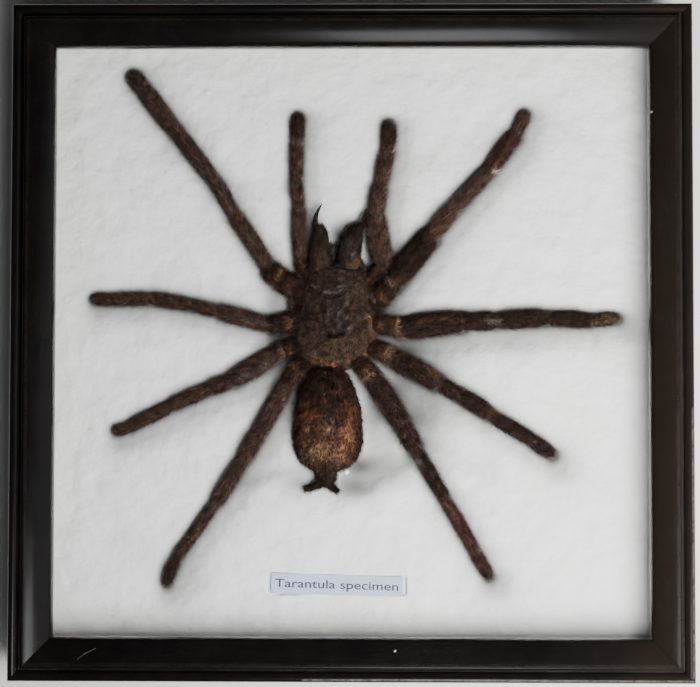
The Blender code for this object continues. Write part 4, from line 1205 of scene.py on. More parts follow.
def press_along_limbs(flat):
    """How far the pad is pressed down along the limbs, and how strong the painted shade beside them is, each
    from 0 to 1.
    """
    pressed = np.full(len(flat), np.inf)
    limb_shade = np.zeros(len(flat))
    for name, limb in LIMBS.items():
        joints = limb_line(limb, heights_of(name))
        for start, end, width in zip(joints, joints[1:], limb["widths"]):
            start, end = np.array(start[:2]) / MM, np.array(end[:2]) / MM
            away, share = distance_to_line(flat, start, end)
            out = flat - start - share[:, None] * (end - start)
            steepest = np.clip(away * np.linalg.norm(GROOVE_SHIFT), 1e-6, None)
            facing = 0.5 + 0.5 * (out @ GROOVE_SHIFT) / steepest
            away = np.clip(away - width / 2, 0.0, None)
            reach = PAINTED_SHADE_REACH[0] + (PAINTED_SHADE_REACH[1] - PAINTED_SHADE_REACH[0]) * facing**PAINTED_SHADE_TURN
            limb_shade = np.maximum(limb_shade, np.exp(-away / reach))
            away = distance_to_line(flat, start + GROOVE_SHIFT, end + GROOVE_SHIFT)[0] - width / 2
            pressed = np.minimum(pressed, away)
    return np.exp(-((np.clip(pressed, 0.0, None) / GROOVE_REACH) ** 2)), limb_shade


def press_pad(places):
    """How far the pad sinks at each place, in metres, and how strong the painted shade is there, from 0 to 1.
    """
    flat = places[:, :2] / MM
    sunk, unshaded = press_round_body(flat)
    groove, limb_shade = press_along_limbs(flat)
    sunk += GROOVE_DEPTH * groove
    unshaded *= 1.0 - GROOVE_PAINTED_SHADE * limb_shade
    return sunk * MM, 1.0 - unshaded


def soft_spot(x, y, middle, reach):
    """1 at the middle of a soft oval spot, and less with the distance from it."""
    return np.exp(-(((x - middle[0]) / reach[0]) ** 2) - ((y - middle[1]) / reach[1]) ** 2)


def stroke_share(flat, points, reach):
    """1 on a stroke through the points, in millimetres from above, and less with the distance from it."""
    lines = zip(points, points[1:])
    near = [distance_to_line(flat, np.array(start), np.array(end))[0] for start, end in lines]
    return np.exp(-((np.min(near, axis=0) / reach) ** 2))


def distance_to_line(places, start, end):
    """Distance of each place from a straight line, and how far along the line it is, from 0 to 1."""
    along = end - start
    share = np.clip((places - start) @ along / (along @ along), 0.0, 1.0)
    return np.linalg.norm(places - start - share[:, None] * along, axis=1), share


def add_pad(felt):
    """A thick grid whose top is rumpled like needled cotton and pressed down under the specimen."""
    cells = {"x_subdivisions": PAD_CELLS, "y_subdivisions": PAD_CELLS, "size": 1.0}
    middle = (0.0, 0.0, PAD_TOP)
    pad = begin(bpy.ops.mesh.primitive_grid_add, location=middle, **cells)
    bpy.ops.transform.resize(value=(2 * PAD_HALF.x, 2 * PAD_HALF.y, 1.0), center_override=middle)
    pick(pad, "edges", lambda edge: edge.is_boundary)
    for drop in (PAD_SHOULDER, PAD_TOP - PAD_LOW - PAD_SHOULDER):
        bpy.ops.mesh.extrude_region_move(TRANSFORM_OT_translate={"value": (0.0, 0.0, -drop)})
    bpy.ops.mesh.edge_face_add()
    close(pad)
    top = pad.vertex_groups.new(name="top")
    top.add([v.index for v in pad.data.vertices if v.co.z > PAD_TOP - 0.1 * MM], 1.0, "REPLACE")
    for size, strength in PAD_RUMPLES:
        roughen(pad, size * MM, strength * MM, direction="Z", group="top")
    places = points_of(pad)
    upper = places[:, 2] > PAD_TOP - PAD_SHOULDER
    inside = np.min(np.array(PAD_HALF) - np.abs(places[:, :2]), axis=1)
    swell = PAD_SWELL * np.clip(inside / SWELL_REACH, 0.0, 1.0)
    sunk, painted_shade = press_pad(places)
    places[upper, 2] += swell[upper] - sunk[upper]
    bed_share, bed_height = LABEL_BED
    under_label = np.abs(places[:, :2] - np.array(LABEL_CENTRE)) < np.array(LABEL_SIZE) * bed_share
    flat = upper & under_label.all(axis=1)
    places[flat, 2] = np.minimum(places[flat, 2], PAD_TOP + bed_height)
    move_points(pad, places)
    # The painted shade is kept for the felt's material.
    store(pad, "painted_shade", "FLOAT", painted_shade)
    pad.vertex_groups.clear()
    shade(pad, 50.0)
    settle(pad, "felted_pad", felt, "white_felt", "backing_pad")
    return pad


def turn_about_origin(obj, degrees, axis):
    make_active(obj)
    bpy.ops.object.mode_set(mode="EDIT")
    bpy.ops.mesh.select_all(action="SELECT")
    bpy.ops.transform.rotate(value=math.radians(degrees), orient_axis=axis, center_override=(0.0, 0.0, 0.0))
    bpy.ops.object.mode_set(mode="OBJECT")


def curl(obj):
    """Lifts both ends a little. The bend works in its own XY plane, so the piece stands up for it."""
    turn_about_origin(obj, 90.0, "X")
    bend = {"deform_method": "BEND", "deform_axis": "Z", "angle": math.radians(LABEL_CURL)}
    apply_modifier(obj, "SIMPLE_DEFORM", **bend)
    turn_about_origin(obj, -90.0, "X")


def lay_on_pad(obj):
    """Turns and moves a piece made at the origin to the label's place."""
    turn_about_origin(obj, LABEL_TILT, "Z")
    bpy.ops.object.mode_set(mode="EDIT")
    bpy.ops.transform.translate(value=(*LABEL_CENTRE, LABEL_HEIGHT))
    bpy.ops.object.mode_set(mode="OBJECT")


def add_label(paper):
    """A strip of paper whose ends lift a little."""
    cells = {"x_subdivisions": 40, "y_subdivisions": 6, "size": 1.0}
    label = begin(bpy.ops.mesh.primitive_grid_add, **cells)
    bpy.ops.transform.resize(value=(LABEL_SIZE.x, LABEL_SIZE.y, 1.0), center_override=(0.0, 0.0, 0.0))
    bpy.ops.mesh.extrude_region_move(TRANSFORM_OT_translate={"value": (0.0, 0.0, LABEL_THICKNESS)})
    close(label)
    curl(label)
    lay_on_pad(label)
    shade(label, 40.0)
    settle(label, "paper_label", paper, "label_paper", "specimen_label")


def add_print(ink):
    """The line of print on the label, curled as the paper is."""
    bpy.ops.object.select_all(action="DESELECT")
    bpy.ops.object.text_add()
    text = bpy.context.object
    text.data.body = PRINT_TEXT
    text.data.size = PRINT_SIZE
    text.data.align_x = "CENTER"
    text.data.align_y = "CENTER"
    text.data.extrude = PRINT_THICKNESS
    text.data.offset = PRINT_WEIGHT
    bpy.ops.object.convert(target="MESH")
    places = points_of(text)
    places[:, 0] *= PRINT_WIDTH / (places[:, 0].max() - places[:, 0].min())
    places[:, 2] += LABEL_THICKNESS + PRINT_GAP
    move_points(text, places)
    curl(text)
    lay_on_pad(text)
    settle(text, "label_print", ink, "label_paper")


def add_pin(enamel, zinc):
    """A pin with a round head: the ball is drawn out below into a straight shaft with a point."""
    centre = (*PIN_AT, PIN_TOP - PIN_HEAD_RADIUS)
    ball = {"segments": 24, "ring_count": 16, "radius": PIN_HEAD_RADIUS, "location": centre}
    pin = begin(bpy.ops.mesh.primitive_uv_sphere_add, **ball)
    low = centre[2] - PIN_NECK_SHARE * PIN_HEAD_RADIUS
    below = {"plane_no": (0.0, 0.0, -1.0), "use_fill": True, "clear_outer": True}
    bpy.ops.mesh.bisect(plane_co=(*PIN_AT, low), **below)
    neck = PIN_SHAFT_RADIUS / (PIN_HEAD_RADIUS * math.sqrt(1.0 - PIN_NECK_SHARE**2))
    for drop, share in ((0.1 * MM, neck), (low - PIN_POINT - 0.2 * MM - PIN_TAPER, 1.0), (PIN_TAPER, 0.08)):
        bpy.ops.mesh.extrude_region_move(TRANSFORM_OT_translate={"value": (0.0, 0.0, -drop)})
        bpy.ops.transform.resize(value=(share, share, 1.0), center_override=(*PIN_AT, low))
    close(pin)
    shade(pin, 50.0)
    pin.data.materials.append(enamel)
    pin.data.materials.append(zinc)
    for face in pin.data.polygons:
        face.material_index = int(face.center.z < low - 0.02 * MM)
    settle(pin, "white_headed_pin", enamel, "white_enamel", "pin")


# ---------------------------------------------------------------- specimen


def limb_line(limb, heights):
    """The limb's joints from hip to tip, in metres."""
    place = Vector((CARAPACE_CENTRE.x, CARAPACE_CENTRE.y)) + Vector(limb["hip"]) * MM
    joints = [Vector((*place, heights[0] * MM))]
    for length, heading, height in zip(limb["lengths"], limb["headings"], heights[1:]):
        angle = math.radians(heading)
        place = place + Vector((math.cos(angle), math.sin(angle))) * length * MM
        joints.append(Vector((*place, height * MM)))
    return joints


def heights_of(name):
    return LEG_HEIGHTS if name.startswith("leg") else PALP_HEIGHTS


def wobble(places, size, seed=0.0):
    """Smooth noise at each place, about from -1 to 1."""
    shift = Vector((seed, seed * 1.7, -seed))
    return np.array([noise.noise(Vector(place) / size + shift) for place in places])


def limb_sections(limb, joints):
    """Rings along the limb, with a slight unevenness of its own."""
    sections = []
    last = len(limb["widths"]) - 1
    for index, (length, width) in enumerate(zip(limb["lengths"], limb["widths"])):
        rings = SHORT_JOINT_RINGS if length <= SHORT_JOINT else JOINT_RINGS
        if index == last:
            rings = JOINT_RINGS[:5] + LIMB_TIP
        heading = math.radians(limb["headings"][index])
        if index == 0:
            root = joints[0].lerp(joints[1], -ROOT_REACH / length) - Vector((0.0, 0.0, ROOT_DROP))
            half = width / 2 * MM * ROOT_SHARE
            sections.append((root, heading, half, half))
        across = Vector((-math.sin(heading), math.cos(heading), 0.0))
        for along, share in rings:
            centre = joints[index].lerp(joints[index + 1], along)
            half = width / 2 * MM * share * CORE_SHARE
            half *= 1.0 + UNEVENNESS * noise.noise(centre / UNEVEN_SIZE)
            centre = centre + across * WANDER * noise.noise(centre / WANDER_SIZE)
            sections.append((centre, heading, half, half * FLATNESS))
    return sections


def limb_fields(limb, joints, places):
    """For each place: straightened coordinates, colour and direction of growth."""
    near = np.full(len(places), np.inf)
    straight = np.zeros((len(places), 3))
    flow = np.zeros((len(places), 3))
    travelled = 0.0
    stops, tones, reached = [], [], []
    for start, end, coat in zip(joints, joints[1:], limb["coats"]):
        start, end = np.array(start), np.array(end)
        length = np.linalg.norm(end - start)
        away, share = distance_to_line(places, start, end)
        closer = away < near
        near[closer] = away[closer]
        forward = (end - start) / length
        across = np.cross((0.0, 0.0, 1.0), forward)
        offset = places[closer] - start
        straight[closer, 0] = travelled + share[closer] * length
        straight[closer, 1] = offset @ across
        straight[closer, 2] = offset[:, 2]
        flow[closer] = forward
        stops += [travelled + place * length for place in COLOUR_ENDS]
        tones += [COATS[coat]] * len(COLOUR_ENDS)
        travelled += length
        reached.append(travelled)
    channels = np.transpose(tones)
    colours = np.stack([np.interp(straight[:, 0], stops, channel) for channel in channels], axis=1)
    for joint in reached[:-1]:
        close_by = np.exp(-(((straight[:, 0] - joint) / MEMBRANE_REACH) ** 2))[:, None]
        colours += close_by * (np.array(COATS["membrane"]) - colours) * MEMBRANE_STRENGTH
    for start, end, reach, tone in limb["marks"]:
        share = stroke_share(places[:, :2] / MM, (start, end), reach)
        colours += share[:, None] * (np.array(COATS[tone]) - colours)
    return straight, colours, flow


def mottled(colours, places, amount):
    """Breaks the colours up in lighter and darker, redder and greyer flecks."""
    depth = wobble(places, 1.5 * MM, 3.0) + 0.9 * wobble(places, 0.62 * MM, 9.0)
    hue = wobble(places, 1.1 * MM, 21.0)[:, None] * np.array((0.16, -0.02, -0.14))
    return np.array(colours) * np.exp(amount * depth[:, None] + hue * amount)


def paint_and_place(obj, colours, straight, amount=0.75):
    colours = mottled(colours, points_of(obj), amount)
    rgba = np.concatenate([colours, np.ones((len(colours), 1))], axis=1)
    store(obj, "coat", "FLOAT_COLOR", rgba)
    store(obj, "grown_place", "FLOAT_VECTOR", straight)


def scatter(host, count, random, keep):
    """Random points on the host's faces: place, normal and colour. keep gives each face's share of hairs."""
    mesh = host.data
    mesh.calc_loop_triangles()
    corners = np.empty(len(mesh.loop_triangles) * 3, np.int32)
    mesh.loop_triangles.foreach_get("vertices", corners)
    corners = corners.reshape(-1, 3)
    places = points_of(host)
    painted = np.empty(len(mesh.vertices) * 4, np.float32)
    mesh.attributes["coat"].data.foreach_get("color", painted)
    painted = painted.reshape(-1, 4)[:, :3]
    first, second, third = places[corners[:, 0]], places[corners[:, 1]], places[corners[:, 2]]
    normals = np.cross(second - first, third - first)
    areas = np.linalg.norm(normals, axis=1) + 1e-15
    normals /= areas[:, None]
    weights = areas * keep((first + second + third) / 3, normals)
    chosen = random.choice(len(areas), count, p=weights / weights.sum())
    u, v = random.random((2, count))
    over = u + v > 1.0
    u[over], v[over] = 1.0 - u[over], 1.0 - v[over]
    u, v = u[:, None], v[:, None]
    roots = first[chosen] * (1 - u - v) + second[chosen] * u + third[chosen] * v
    tones = painted[corners[chosen]].mean(axis=1)
    return roots, normals[chosen], tones


def unit(vectors):
    return vectors / (np.linalg.norm(vectors, axis=1, keepdims=True) + 1e-12)


def add_strands(name, roots, heads, bends, lengths, widths, steps, tones, material, slot):
    """Joins tapered three-sided strands in one mesh. Each has its rings, a tip and a closed foot."""
    side = unit(np.cross(heads, (0.13, 0.07, 0.99)))
    up = np.cross(heads, side)
    points, fades = [], []
    for step in range(steps):
        t = step / steps
        middle = roots + (heads * t + bends * t * t) * lengths[:, None]
        radius = (widths / 2 * (1.0 - STRAND_TAPER * t))[:, None]
        for corner in range(3):
            angle = corner * 2 * math.pi / 3
            points.append(middle + (side * math.cos(angle) + up * math.sin(angle)) * radius)
            fades.append(t)
    points.append(roots + (heads + bends) * lengths[:, None])
    fades.append(1.0)
    each = 3 * steps + 1
    faces = [(0, 2, 1)]
    for step in range(steps - 1):
        for corner in range(3):
            a, b = 3 * step + corner, 3 * step + (corner + 1) % 3
            faces += [(a, b, b + 3), (a, b + 3, a + 3)]
    for corner in range(3):
        faces.append((3 * (steps - 1) + corner, 3 * (steps - 1) + (corner + 1) % 3, each - 1))
    places = np.stack(points, axis=1).reshape(-1, 3)
    all_faces = (np.array(faces)[None] + each * np.arange(len(roots))[:, None, None]).reshape(-1, 3)
    mesh = bpy.data.meshes.new(name)
    mesh.from_pydata(places.tolist(), [], all_faces.tolist())
    mesh.shade_smooth()
    strands = bpy.data.objects.new(name, mesh)
    bpy.context.scene.collection.objects.link(strands)
    shades = STRAND_SHADES[0] + STRAND_SHADES[1] * np.array(fades)
    painted = (tones[:, None, :] * shades[None, :, None]).reshape(-1, 3)
    store(strands, "coat", "FLOAT_COLOR", np.concatenate([painted, np.ones((len(painted), 1))], axis=1))
    return settle(strands, name, material, slot)


def facing_up(places, normals):
    """More hairs where the skin faces up, and none where it faces down."""
    return np.clip(normals[:, 2] + 0.55, 0.0, 1.0)


def grow(
    name, host, flow, seed, material, slot, count, length, width, lean, steps=1, keep=facing_up, lighten=1.0
):
    """Hairs on a host: they lean by that many degrees off the surface and follow the flow."""
    random = np.random.default_rng(seed)
    roots, normals, tones = scatter(host, count, random, keep)
    forward = flow(roots)
    forward = unit(forward - normals * np.sum(forward * normals, axis=1, keepdims=True))
    forward = unit(forward + HAIR_SPREAD * random.normal(size=forward.shape))
    angles = np.radians(lean * random.uniform(*HAIR_LEANS, count))[:, None]
    heads = unit(forward * np.cos(angles) + normals * np.sin(angles))
    bends = forward * HAIR_BEND[0] - normals * HAIR_BEND[1]
    lengths = length * random.uniform(*HAIR_LENGTHS, count)
    widths = width * random.uniform(*HAIR_WIDTHS, count)
    single, tuft = HAIR_TONES
    shades = random.normal(0.0, single, count) + tuft * wobble(roots, 0.9 * MM, seed)
    tones = tones * np.exp(shades)[:, None] * lighten
    high = roots[:, 2] + (heads[:, 2] + bends[:, 2]) * lengths
    lengths = np.where(high > GLASS_LOW, lengths * HAIR_BELOW_GLASS, lengths)
    roots = roots - normals * HAIR_ROOT
    return add_strands(name, roots, heads, bends, lengths, widths, steps, tones, material, slot)


def add_limb(number, name, limb, skin, hair):
    """One limb: skin drawn out joint by joint, with a short dense coat and sparse long bristles."""
    joints = limb_line(limb, heights_of(name))
    core = loft(limb_sections(limb, joints), LIMB_SIDES)
    smooth_out(core, 2)
    roughen(core, 2.6 * MM, 0.35 * MM)
    roughen(core, 0.9 * MM, 0.16 * MM)
    straight, colours, _ = limb_fields(limb, joints, points_of(core))
    paint_and_place(core, colours, straight)
    shade(core)
    settle(core, name + "_skin", skin, "brown_bristle", name)

    def flow(places):
        return limb_fields(limb, joints, places)[2]

    coat, bristles = (int(dense * sum(limb["lengths"])) for dense in LIMB_HAIRS)
    grow(name + "_coat", core, flow, 100 + number, hair, "brown_bristle", count=coat, **LIMB_COAT)
    grow(name + "_bristles", core, flow, 200 + number, hair, "brown_bristle", count=bristles, **LIMB_BRISTLES)


def body_sections(centre, half_length, stations, half_widths, rises, depth, heading, count):
    """Rings of a rounded body: their width and rise follow its stations, from rear to front."""
    forward = Vector((math.cos(heading), math.sin(heading), 0.0))
    sections = []
    for step in range(count + 1):
        station = -math.cos(math.pi * step / count)
        wide = float(np.interp(station, stations, half_widths)) * MM
        rise = float(np.interp(station, stations, rises)) * MM
        low = depth * MM * math.sqrt(wide / (max(half_widths) * MM))
        middle = centre + forward * station * half_length + Vector((0.0, 0.0, (rise - low) / 2))
        sections.append((middle, heading, wide, (rise + low) / 2))
    return sections


def spotted(places, base, spots):
    """A base colour with soft-edged spots: middle, radii, colour and strength, in millimetres."""
    colours = np.tile(np.array(base, float), (len(places), 1))
    ragged = 1.0 + 0.9 * wobble(places, 2.2 * MM) + 0.5 * wobble(places, 1.0 * MM, 4.0)
    for (middle_x, middle_y), (reach_x, reach_y), tone, strength in spots:
        across, along = (places[:, 0] / MM - middle_x) / reach_x, (places[:, 1] / MM - middle_y) / reach_y
        share = strength * np.exp(-(((across**2 + along**2) * ragged) ** 1.5))
        colours += share[:, None] * (np.array(tone) - colours)
    return colours


def stroked(colours, places, strokes):
    """Paints strokes over the colours."""
    for points, reach, _, tone, strength in strokes:
        share = strength * stroke_share(places[:, :2] / MM, points, reach)
        colours += share[:, None] * (np.array(tone) - colours)
    return colours


def carve_carapace(places):
    """Presses in the pit and the furrows that run out from it, and raises the eye mound."""
    x, y = places[:, 0] / MM, places[:, 1] / MM
    top = np.clip((places[:, 2] - CARAPACE_CENTRE.z) / (1.5 * MM), 0.0, 1.0)
    change = -0.6 * soft_spot(x, y, FOVEA / MM, (3.2, 1.2))
    change += 0.9 * soft_spot(x, y, EYE_MOUND / MM, (3.0, 2.0))
    flat = np.stack([x, y], axis=1)
    for points, reach, rise, _, _ in CARAPACE_STROKES:
        change += rise * stroke_share(flat, points, reach)
    places[:, 2] += change * top * MM
    return places


def add_eyes(skin_places, horn):
    """Four glossy beads, set on the skin of the eye mound."""
    eyes = []
    for across, along, radius in EYES:
        centre = Vector((EYE_MOUND.x + across * MM, EYE_MOUND.y + along * MM, 0.0))
        away = np.hypot(skin_places[:, 0] - centre.x, skin_places[:, 1] - centre.y)
        nearest = np.argmin(away - skin_places[:, 2])
        centre.z = skin_places[nearest, 2] + 0.02 * MM
        ball = {"segments": 14, "ring_count": 10, "radius": radius * MM, "location": centre}
        eye = begin(bpy.ops.mesh.primitive_uv_sphere_add, **ball)
        bpy.ops.transform.resize(value=(1.1, 0.9, 0.8), center_override=centre)
        close(eye)
        shade(eye)
        eyes.append(eye)
    join(eyes[0], *eyes[1:])
    settle(eyes[0], "eyes", horn, "brown_chitin")


def add_carapace(skin, hair, horn):
    """The front body with its eyes, finely haired, with longer hairs round its rim."""
    sizes = (CARAPACE_CENTRE, CARAPACE_HALF_LENGTH, CARAPACE_STATIONS, CARAPACE_HALF_WIDTHS, CARAPACE_RISES)
    carapace = loft(body_sections(*sizes, CARAPACE_DEPTH, math.pi / 2, BODY_RINGS), BODY_SIDES)
    smooth_out(carapace, 3)
    places = points_of(carapace)
    ragged = 1.0 + 0.035 * wobble(places, 3.2 * MM, 5.0)[:, None]
    middle = np.array((CARAPACE_CENTRE.x, CARAPACE_CENTRE.y))
    places[:, :2] = middle + (places[:, :2] - middle) * ragged
    move_points(carapace, carve_carapace(places))
    roughen(carapace, 2.4 * MM, 0.40 * MM)
    roughen(carapace, 0.9 * MM, 0.10 * MM)
    places = points_of(carapace)
    colours = spotted(places, CARAPACE_TONE, CARAPACE_TONES)
    paint_and_place(carapace, stroked(colours, places, CARAPACE_STROKES), places)
    add_eyes(places, horn)
    shade(carapace)
    settle(carapace, "carapace_skin", skin, "brown_chitin", "carapace")

    def outwards(places):
        return unit(places - np.array((*FOVEA, CARAPACE_CENTRE.z)))

    def at_rim(places, normals):
        return np.clip(1.0 - np.abs(normals[:, 2] - 0.15) * 1.6, 0.0, 1.0)

    grow("carapace_coat", carapace, outwards, 300, hair, "brown_chitin", **CARAPACE_COAT)
    grow("carapace_fringe", carapace, outwards, 301, hair, "brown_chitin", keep=at_rim, **CARAPACE_FRINGE)


def add_underside(skin, hair):
    """The dark haired underside between the limbs' roots, which closes the gaps round the front body: partly
    the real underside, partly a dark piece that stands for the shade in those gaps.
    """
    centre, half_length = UNDERSIDE_CENTRE, UNDERSIDE_HALF_LENGTH
    sizes = (centre, half_length, UNDERSIDE_STATIONS, UNDERSIDE_HALF_WIDTHS, UNDERSIDE_RISES)
    underside = loft(body_sections(*sizes, UNDERSIDE_DEPTH, math.pi / 2, BODY_RINGS), BODY_SIDES)
    smooth_out(underside, 2)
    roughen(underside, 3.0 * MM, 0.9 * MM)
    roughen(underside, 1.1 * MM, 0.4 * MM)
    places = points_of(underside)
    base = np.tile(np.array(UNDERSIDE_TONE), (len(places), 1))
    paint_and_place(underside, base, places)
    shade(underside)
    settle(underside, "underside_skin", skin, "brown_chitin")

    def outwards(places):
        return unit(places - np.array(centre))

    grow("underside_coat", underside, outwards, 305, hair, "brown_chitin", **UNDERSIDE_COAT)


def add_abdomen(hide, hair):
    """The rear body with its spinnerets, long haired round a rubbed patch."""
    sizes = (ABDOMEN_CENTRE, ABDOMEN_HALF_LENGTH, ABDOMEN_STATIONS, ABDOMEN_HALF_WIDTHS, ABDOMEN_RISES)
    abdomen = loft(body_sections(*sizes, ABDOMEN_DEPTH, math.pi / 2, BODY_RINGS), BODY_SIDES)
    smooth_out(abdomen, 2)
    roughen(abdomen, 6.0 * MM, 0.9 * MM)
    roughen(abdomen, 2.2 * MM, 0.55 * MM)
    roughen(abdomen, 0.8 * MM, 0.22 * MM)
    parts = [drawn_out(SPINNERET_ROOT, SPINNERET_ROOT_WIDTHS, 14, 0.62)]
    parts += [drawn_out(line, SPINNERET_WIDTHS, 10, 0.95) for line in SPINNERETS]
    for part in parts:
        smooth_out(part, 2)
        roughen(part, 1.2 * MM, 0.25 * MM)
    join(abdomen, *parts)
    places = points_of(abdomen)
    paint_and_place(abdomen, spotted(places, ABDOMEN_TONE, ABDOMEN_TONES), places, 1.15)
    shade(abdomen)
    settle(abdomen, "abdomen_skin", hide, "abdomen_hide", "abdomen")

    def backwards(places):
        away = places - np.array(ABDOMEN_CENTRE)
        return unit(away * np.array((0.6, 0.2, 0.0)) + np.array((0.0, -8.0 * MM, 0.0)))

    def haired(places, normals):
        bald = soft_spot(places[:, 0] / MM, places[:, 1] / MM, *RUBBED_PATCH)
        return np.clip(normals[:, 2] + 0.6, 0.0, 1.0) * (1.0 - RUBBED_SHARE * np.clip(bald * 1.5, 0.0, 1.0))

    grow("abdomen_coat", abdomen, backwards, 310, hair, "abdomen_hide", keep=haired, **ABDOMEN_COAT)
    grow("abdomen_stubble", abdomen, backwards, 311, hair, "abdomen_hide", **ABDOMEN_STUBBLE)


def drawn_out(line, half_widths, sides, flatness):
    """A tapering tube through points in millimetres, turned at each to follow the line."""
    points = [Vector(point) * MM for point in line]
    sections = []
    for index, (point, half) in enumerate(zip(points, half_widths)):
        ahead = points[min(index + 1, len(points) - 1)] - points[max(index - 1, 0)]
        sections.append((point, math.atan2(ahead.y, ahead.x), half * MM, half * MM * flatness))
    return loft(sections, sides)


def add_fang(side, fang, horn):
    tooth = drawn_out(fang, [width / 2 for width in FANG_WIDTHS], 12, 0.9)
    smooth_out(tooth, 2)
    shade(tooth)
    settle(tooth, f"fang_{side}", horn, "brown_chitin")


def add_chelicera(number, side, centre, half_length, heading, half_widths, lean, fang, skin, hair, horn):
    """One lobe of the jaws, haired forwards, with its fang. The front of the lobe leans sideways."""
    angle = math.radians(heading)
    sizes = (Vector(centre) * MM, half_length * MM, CHELICERA_STATIONS, half_widths, CHELICERA_RISES)
    lobe = loft(body_sections(*sizes, CHELICERA_DEPTH, angle, CHELICERA_RINGS), CHELICERA_SIDES)
    smooth_out(lobe, 2)
    places = points_of(lobe)
    places[:, 0] += lean * MM * np.clip((places[:, 1] / MM - centre[1]) / half_length, 0.0, 1.0) ** 2
    move_points(lobe, places)
    roughen(lobe, 1.8 * MM, 0.4 * MM)
    places = points_of(lobe)
    paint_and_place(lobe, spotted(places, CHELICERA_TONE, CHELICERA_TONES), places)
    shade(lobe)
    settle(lobe, f"chelicera_{side}_skin", skin, "brown_chitin", f"chelicera_{side}")
    add_fang(side, fang, horn)

    def forwards(places):
        return np.tile((math.cos(angle), math.sin(angle), -0.1), (len(places), 1))

    grow(f"chelicera_{side}_coat", lobe, forwards, 320 + number, hair, "brown_chitin", **CHELICERA_COAT)


def add_loose_fibres(pad, fibre):
    """Fine cotton fibres that lie over the pad's surface."""
    random = np.random.default_rng(7)
    store(pad, "coat", "FLOAT_COLOR", np.tile((0.8, 0.8, 0.8, 1.0), (len(pad.data.vertices), 1)))

    # Loose fibres show only where the cotton faces up and its painted shade is light.
    def unshaded(places, normals):
        return (normals[:, 2] > 0.5) & (press_pad(places)[1] < FIBRE_SHADE_LIMIT)

    roots, _, tones = scatter(pad, FIBRE_COUNT, random, unshaded)
    pad.data.attributes.remove(pad.data.attributes["coat"])
    angles = random.uniform(0.0, 2 * math.pi, FIBRE_COUNT)
    heads = np.stack([np.cos(angles), np.sin(angles), random.uniform(-0.02, 0.10, FIBRE_COUNT)], axis=1)
    turned = angles + random.normal(0.0, 0.8, FIBRE_COUNT)
    bends = np.stack([np.cos(turned), np.sin(turned), random.uniform(-0.16, -0.04, FIBRE_COUNT)], axis=1)
    lengths = random.uniform(*FIBRE_LENGTHS, FIBRE_COUNT)
    widths = random.uniform(*FIBRE_WIDTHS, FIBRE_COUNT)
    bends = bends * FIBRE_BEND
    add_strands("pad_fibres", roots, heads, bends, lengths, widths, 4, tones, fibre, "white_felt")


def dress_cad_nodes(materials):
    """The CAD nodes that stay as they are get their finish."""
    finishes = {"glass_pane": "glass", "back_board": "hardboard", "hanger": "zinc"}
    finishes |= {f"spacer_{side}": "card" for side in ("top", "bottom", "left", "right")}
    finishes |= {f"board_point_{number}": "zinc" for number in range(1, 9)}
    finishes |= {f"hanger_rivet_{side}": "zinc" for side in ("left", "right")}
    for name, finish in finishes.items():
        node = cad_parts[name]
        node.data.materials.clear()
        node.data.materials.append(materials[finish])


# ---------------------------------------------------------------- stage


def add_floor(material):
    cells = {"x_subdivisions": FLOOR_CELLS, "y_subdivisions": FLOOR_CELLS, "size": FLOOR_SIZE}
    floor = begin(bpy.ops.mesh.primitive_grid_add, **cells)
    bpy.ops.transform.translate(value=(0.0, 0.0, -FLOOR_GAP))
    close(floor)
    floor.name = "floor"
    floor.data.materials.append(material)


def add_light(name, place, aim, size, spread, watts, tint, glossy):
    """A square soft light, turned to what it lights. Gloss and glass show it only where it is glossy."""
    bpy.ops.object.select_all(action="DESELECT")
    bpy.ops.object.light_add(type="AREA", location=place)
    light = bpy.context.object
    light.name = name
    light.rotation_euler = (Vector(aim) - Vector(place)).to_track_quat("-Z", "Y").to_euler()
    light.data.size = size
    light.data.spread = math.radians(spread)
    light.data.energy = watts
    light.data.color = tint
    light.visible_glossy = glossy
    light.visible_transmission = glossy
    light.visible_camera = False


def add_camera():
    data = bpy.data.cameras.new("camera")
    data.lens = CAMERA_LENS
    data.sensor_width = CAMERA_SENSOR
    camera = bpy.data.objects.new("camera", data)
    bpy.context.scene.collection.objects.link(camera)
    camera.location = CAMERA_PLACE
    camera.rotation_euler = Euler([math.radians(angle) for angle in CAMERA_TURN])
    data.clip_start = 0.01
    data.clip_end = 20.0
    bpy.context.scene.camera = camera


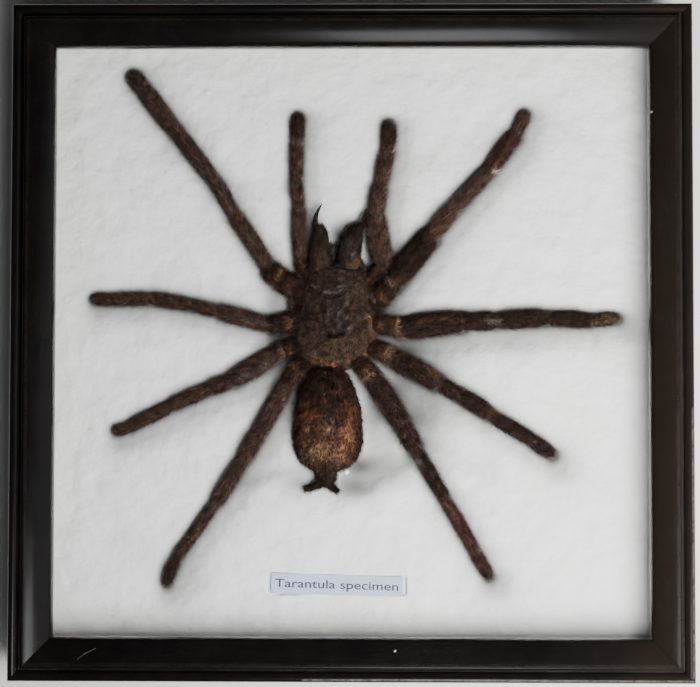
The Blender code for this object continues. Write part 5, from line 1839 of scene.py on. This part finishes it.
def add_room():
    """A dim room that brightens towards one side."""
    world = bpy.data.worlds.new("studio")
    world.use_nodes = True
    background = world.node_tree.nodes["Background"]
    facing = add_node(world.node_tree, "TexCoord").outputs["Generated"]
    towards = calculate_vector(world.node_tree, "DOT_PRODUCT", facing, ROOM_BRIGHTEST)
    room = fade(world.node_tree, towards, *ROOM_FACING, *ROOM_STRENGTHS)
    background.inputs["Color"].default_value = colour(*ROOM_TINT)
    world.node_tree.links.new(room, background.inputs["Strength"])
    bpy.context.scene.world = world


# ---------------------------------------------------------------- build


mottle = make_mottle()
fibres = make_fibres()
dust = make_dust()
lacquer = make_lacquer(mottle, fibres, dust)
felt = make_felt(mottle, fibres)
hair = make_hair(mottle)
horn = make_horn(mottle, fibres)
zinc = make_zinc(mottle, fibres, dust)
limb_skin = make_skin("brown_bristle", mottle, fibres, dust, (500.0, 3400.0, 3400.0), 0.62, 0.86, 0.16 * MM)
chitin = make_skin("brown_chitin", mottle, fibres, dust, (2600.0, 2600.0, 2600.0), 0.50, 0.78, 0.12 * MM)
hide = make_skin("abdomen_hide", mottle, fibres, dust, (1900.0, 1100.0, 1900.0), 0.55, 0.85, 0.22 * MM)

add_camera()
dress_cad_nodes(
    {
        "glass": make_glass(mottle),
        "hardboard": make_hardboard(mottle, fibres, dust),
        "zinc": zinc,
        "card": make_card(mottle, fibres),
    }
)
for rail_name, (turn, length, distance) in RAILS.items():
    add_rail(rail_name, turn, length, distance, lacquer)
pad = add_pad(felt)
add_loose_fibres(pad, make_loose_fibre(mottle))
paper = make_paper(mottle, fibres)
ink = make_ink(mottle)
add_label(paper)
add_print(ink)
add_pin(make_enamel(mottle), zinc)

add_carapace(chitin, hair, horn)
add_underside(chitin, hair)
add_abdomen(hide, hair)
for number, (side, sizes) in enumerate(CHELICERAE.items()):
    add_chelicera(number, side, skin=chitin, hair=hair, horn=horn, **sizes)
for number, (name, limb) in enumerate(LIMBS.items()):
    add_limb(number, name, limb, limb_skin, hair)

add_floor(make_floor(mottle))
add_room()
for name, settings in LIGHTS.items():
    add_light(name, **settings)
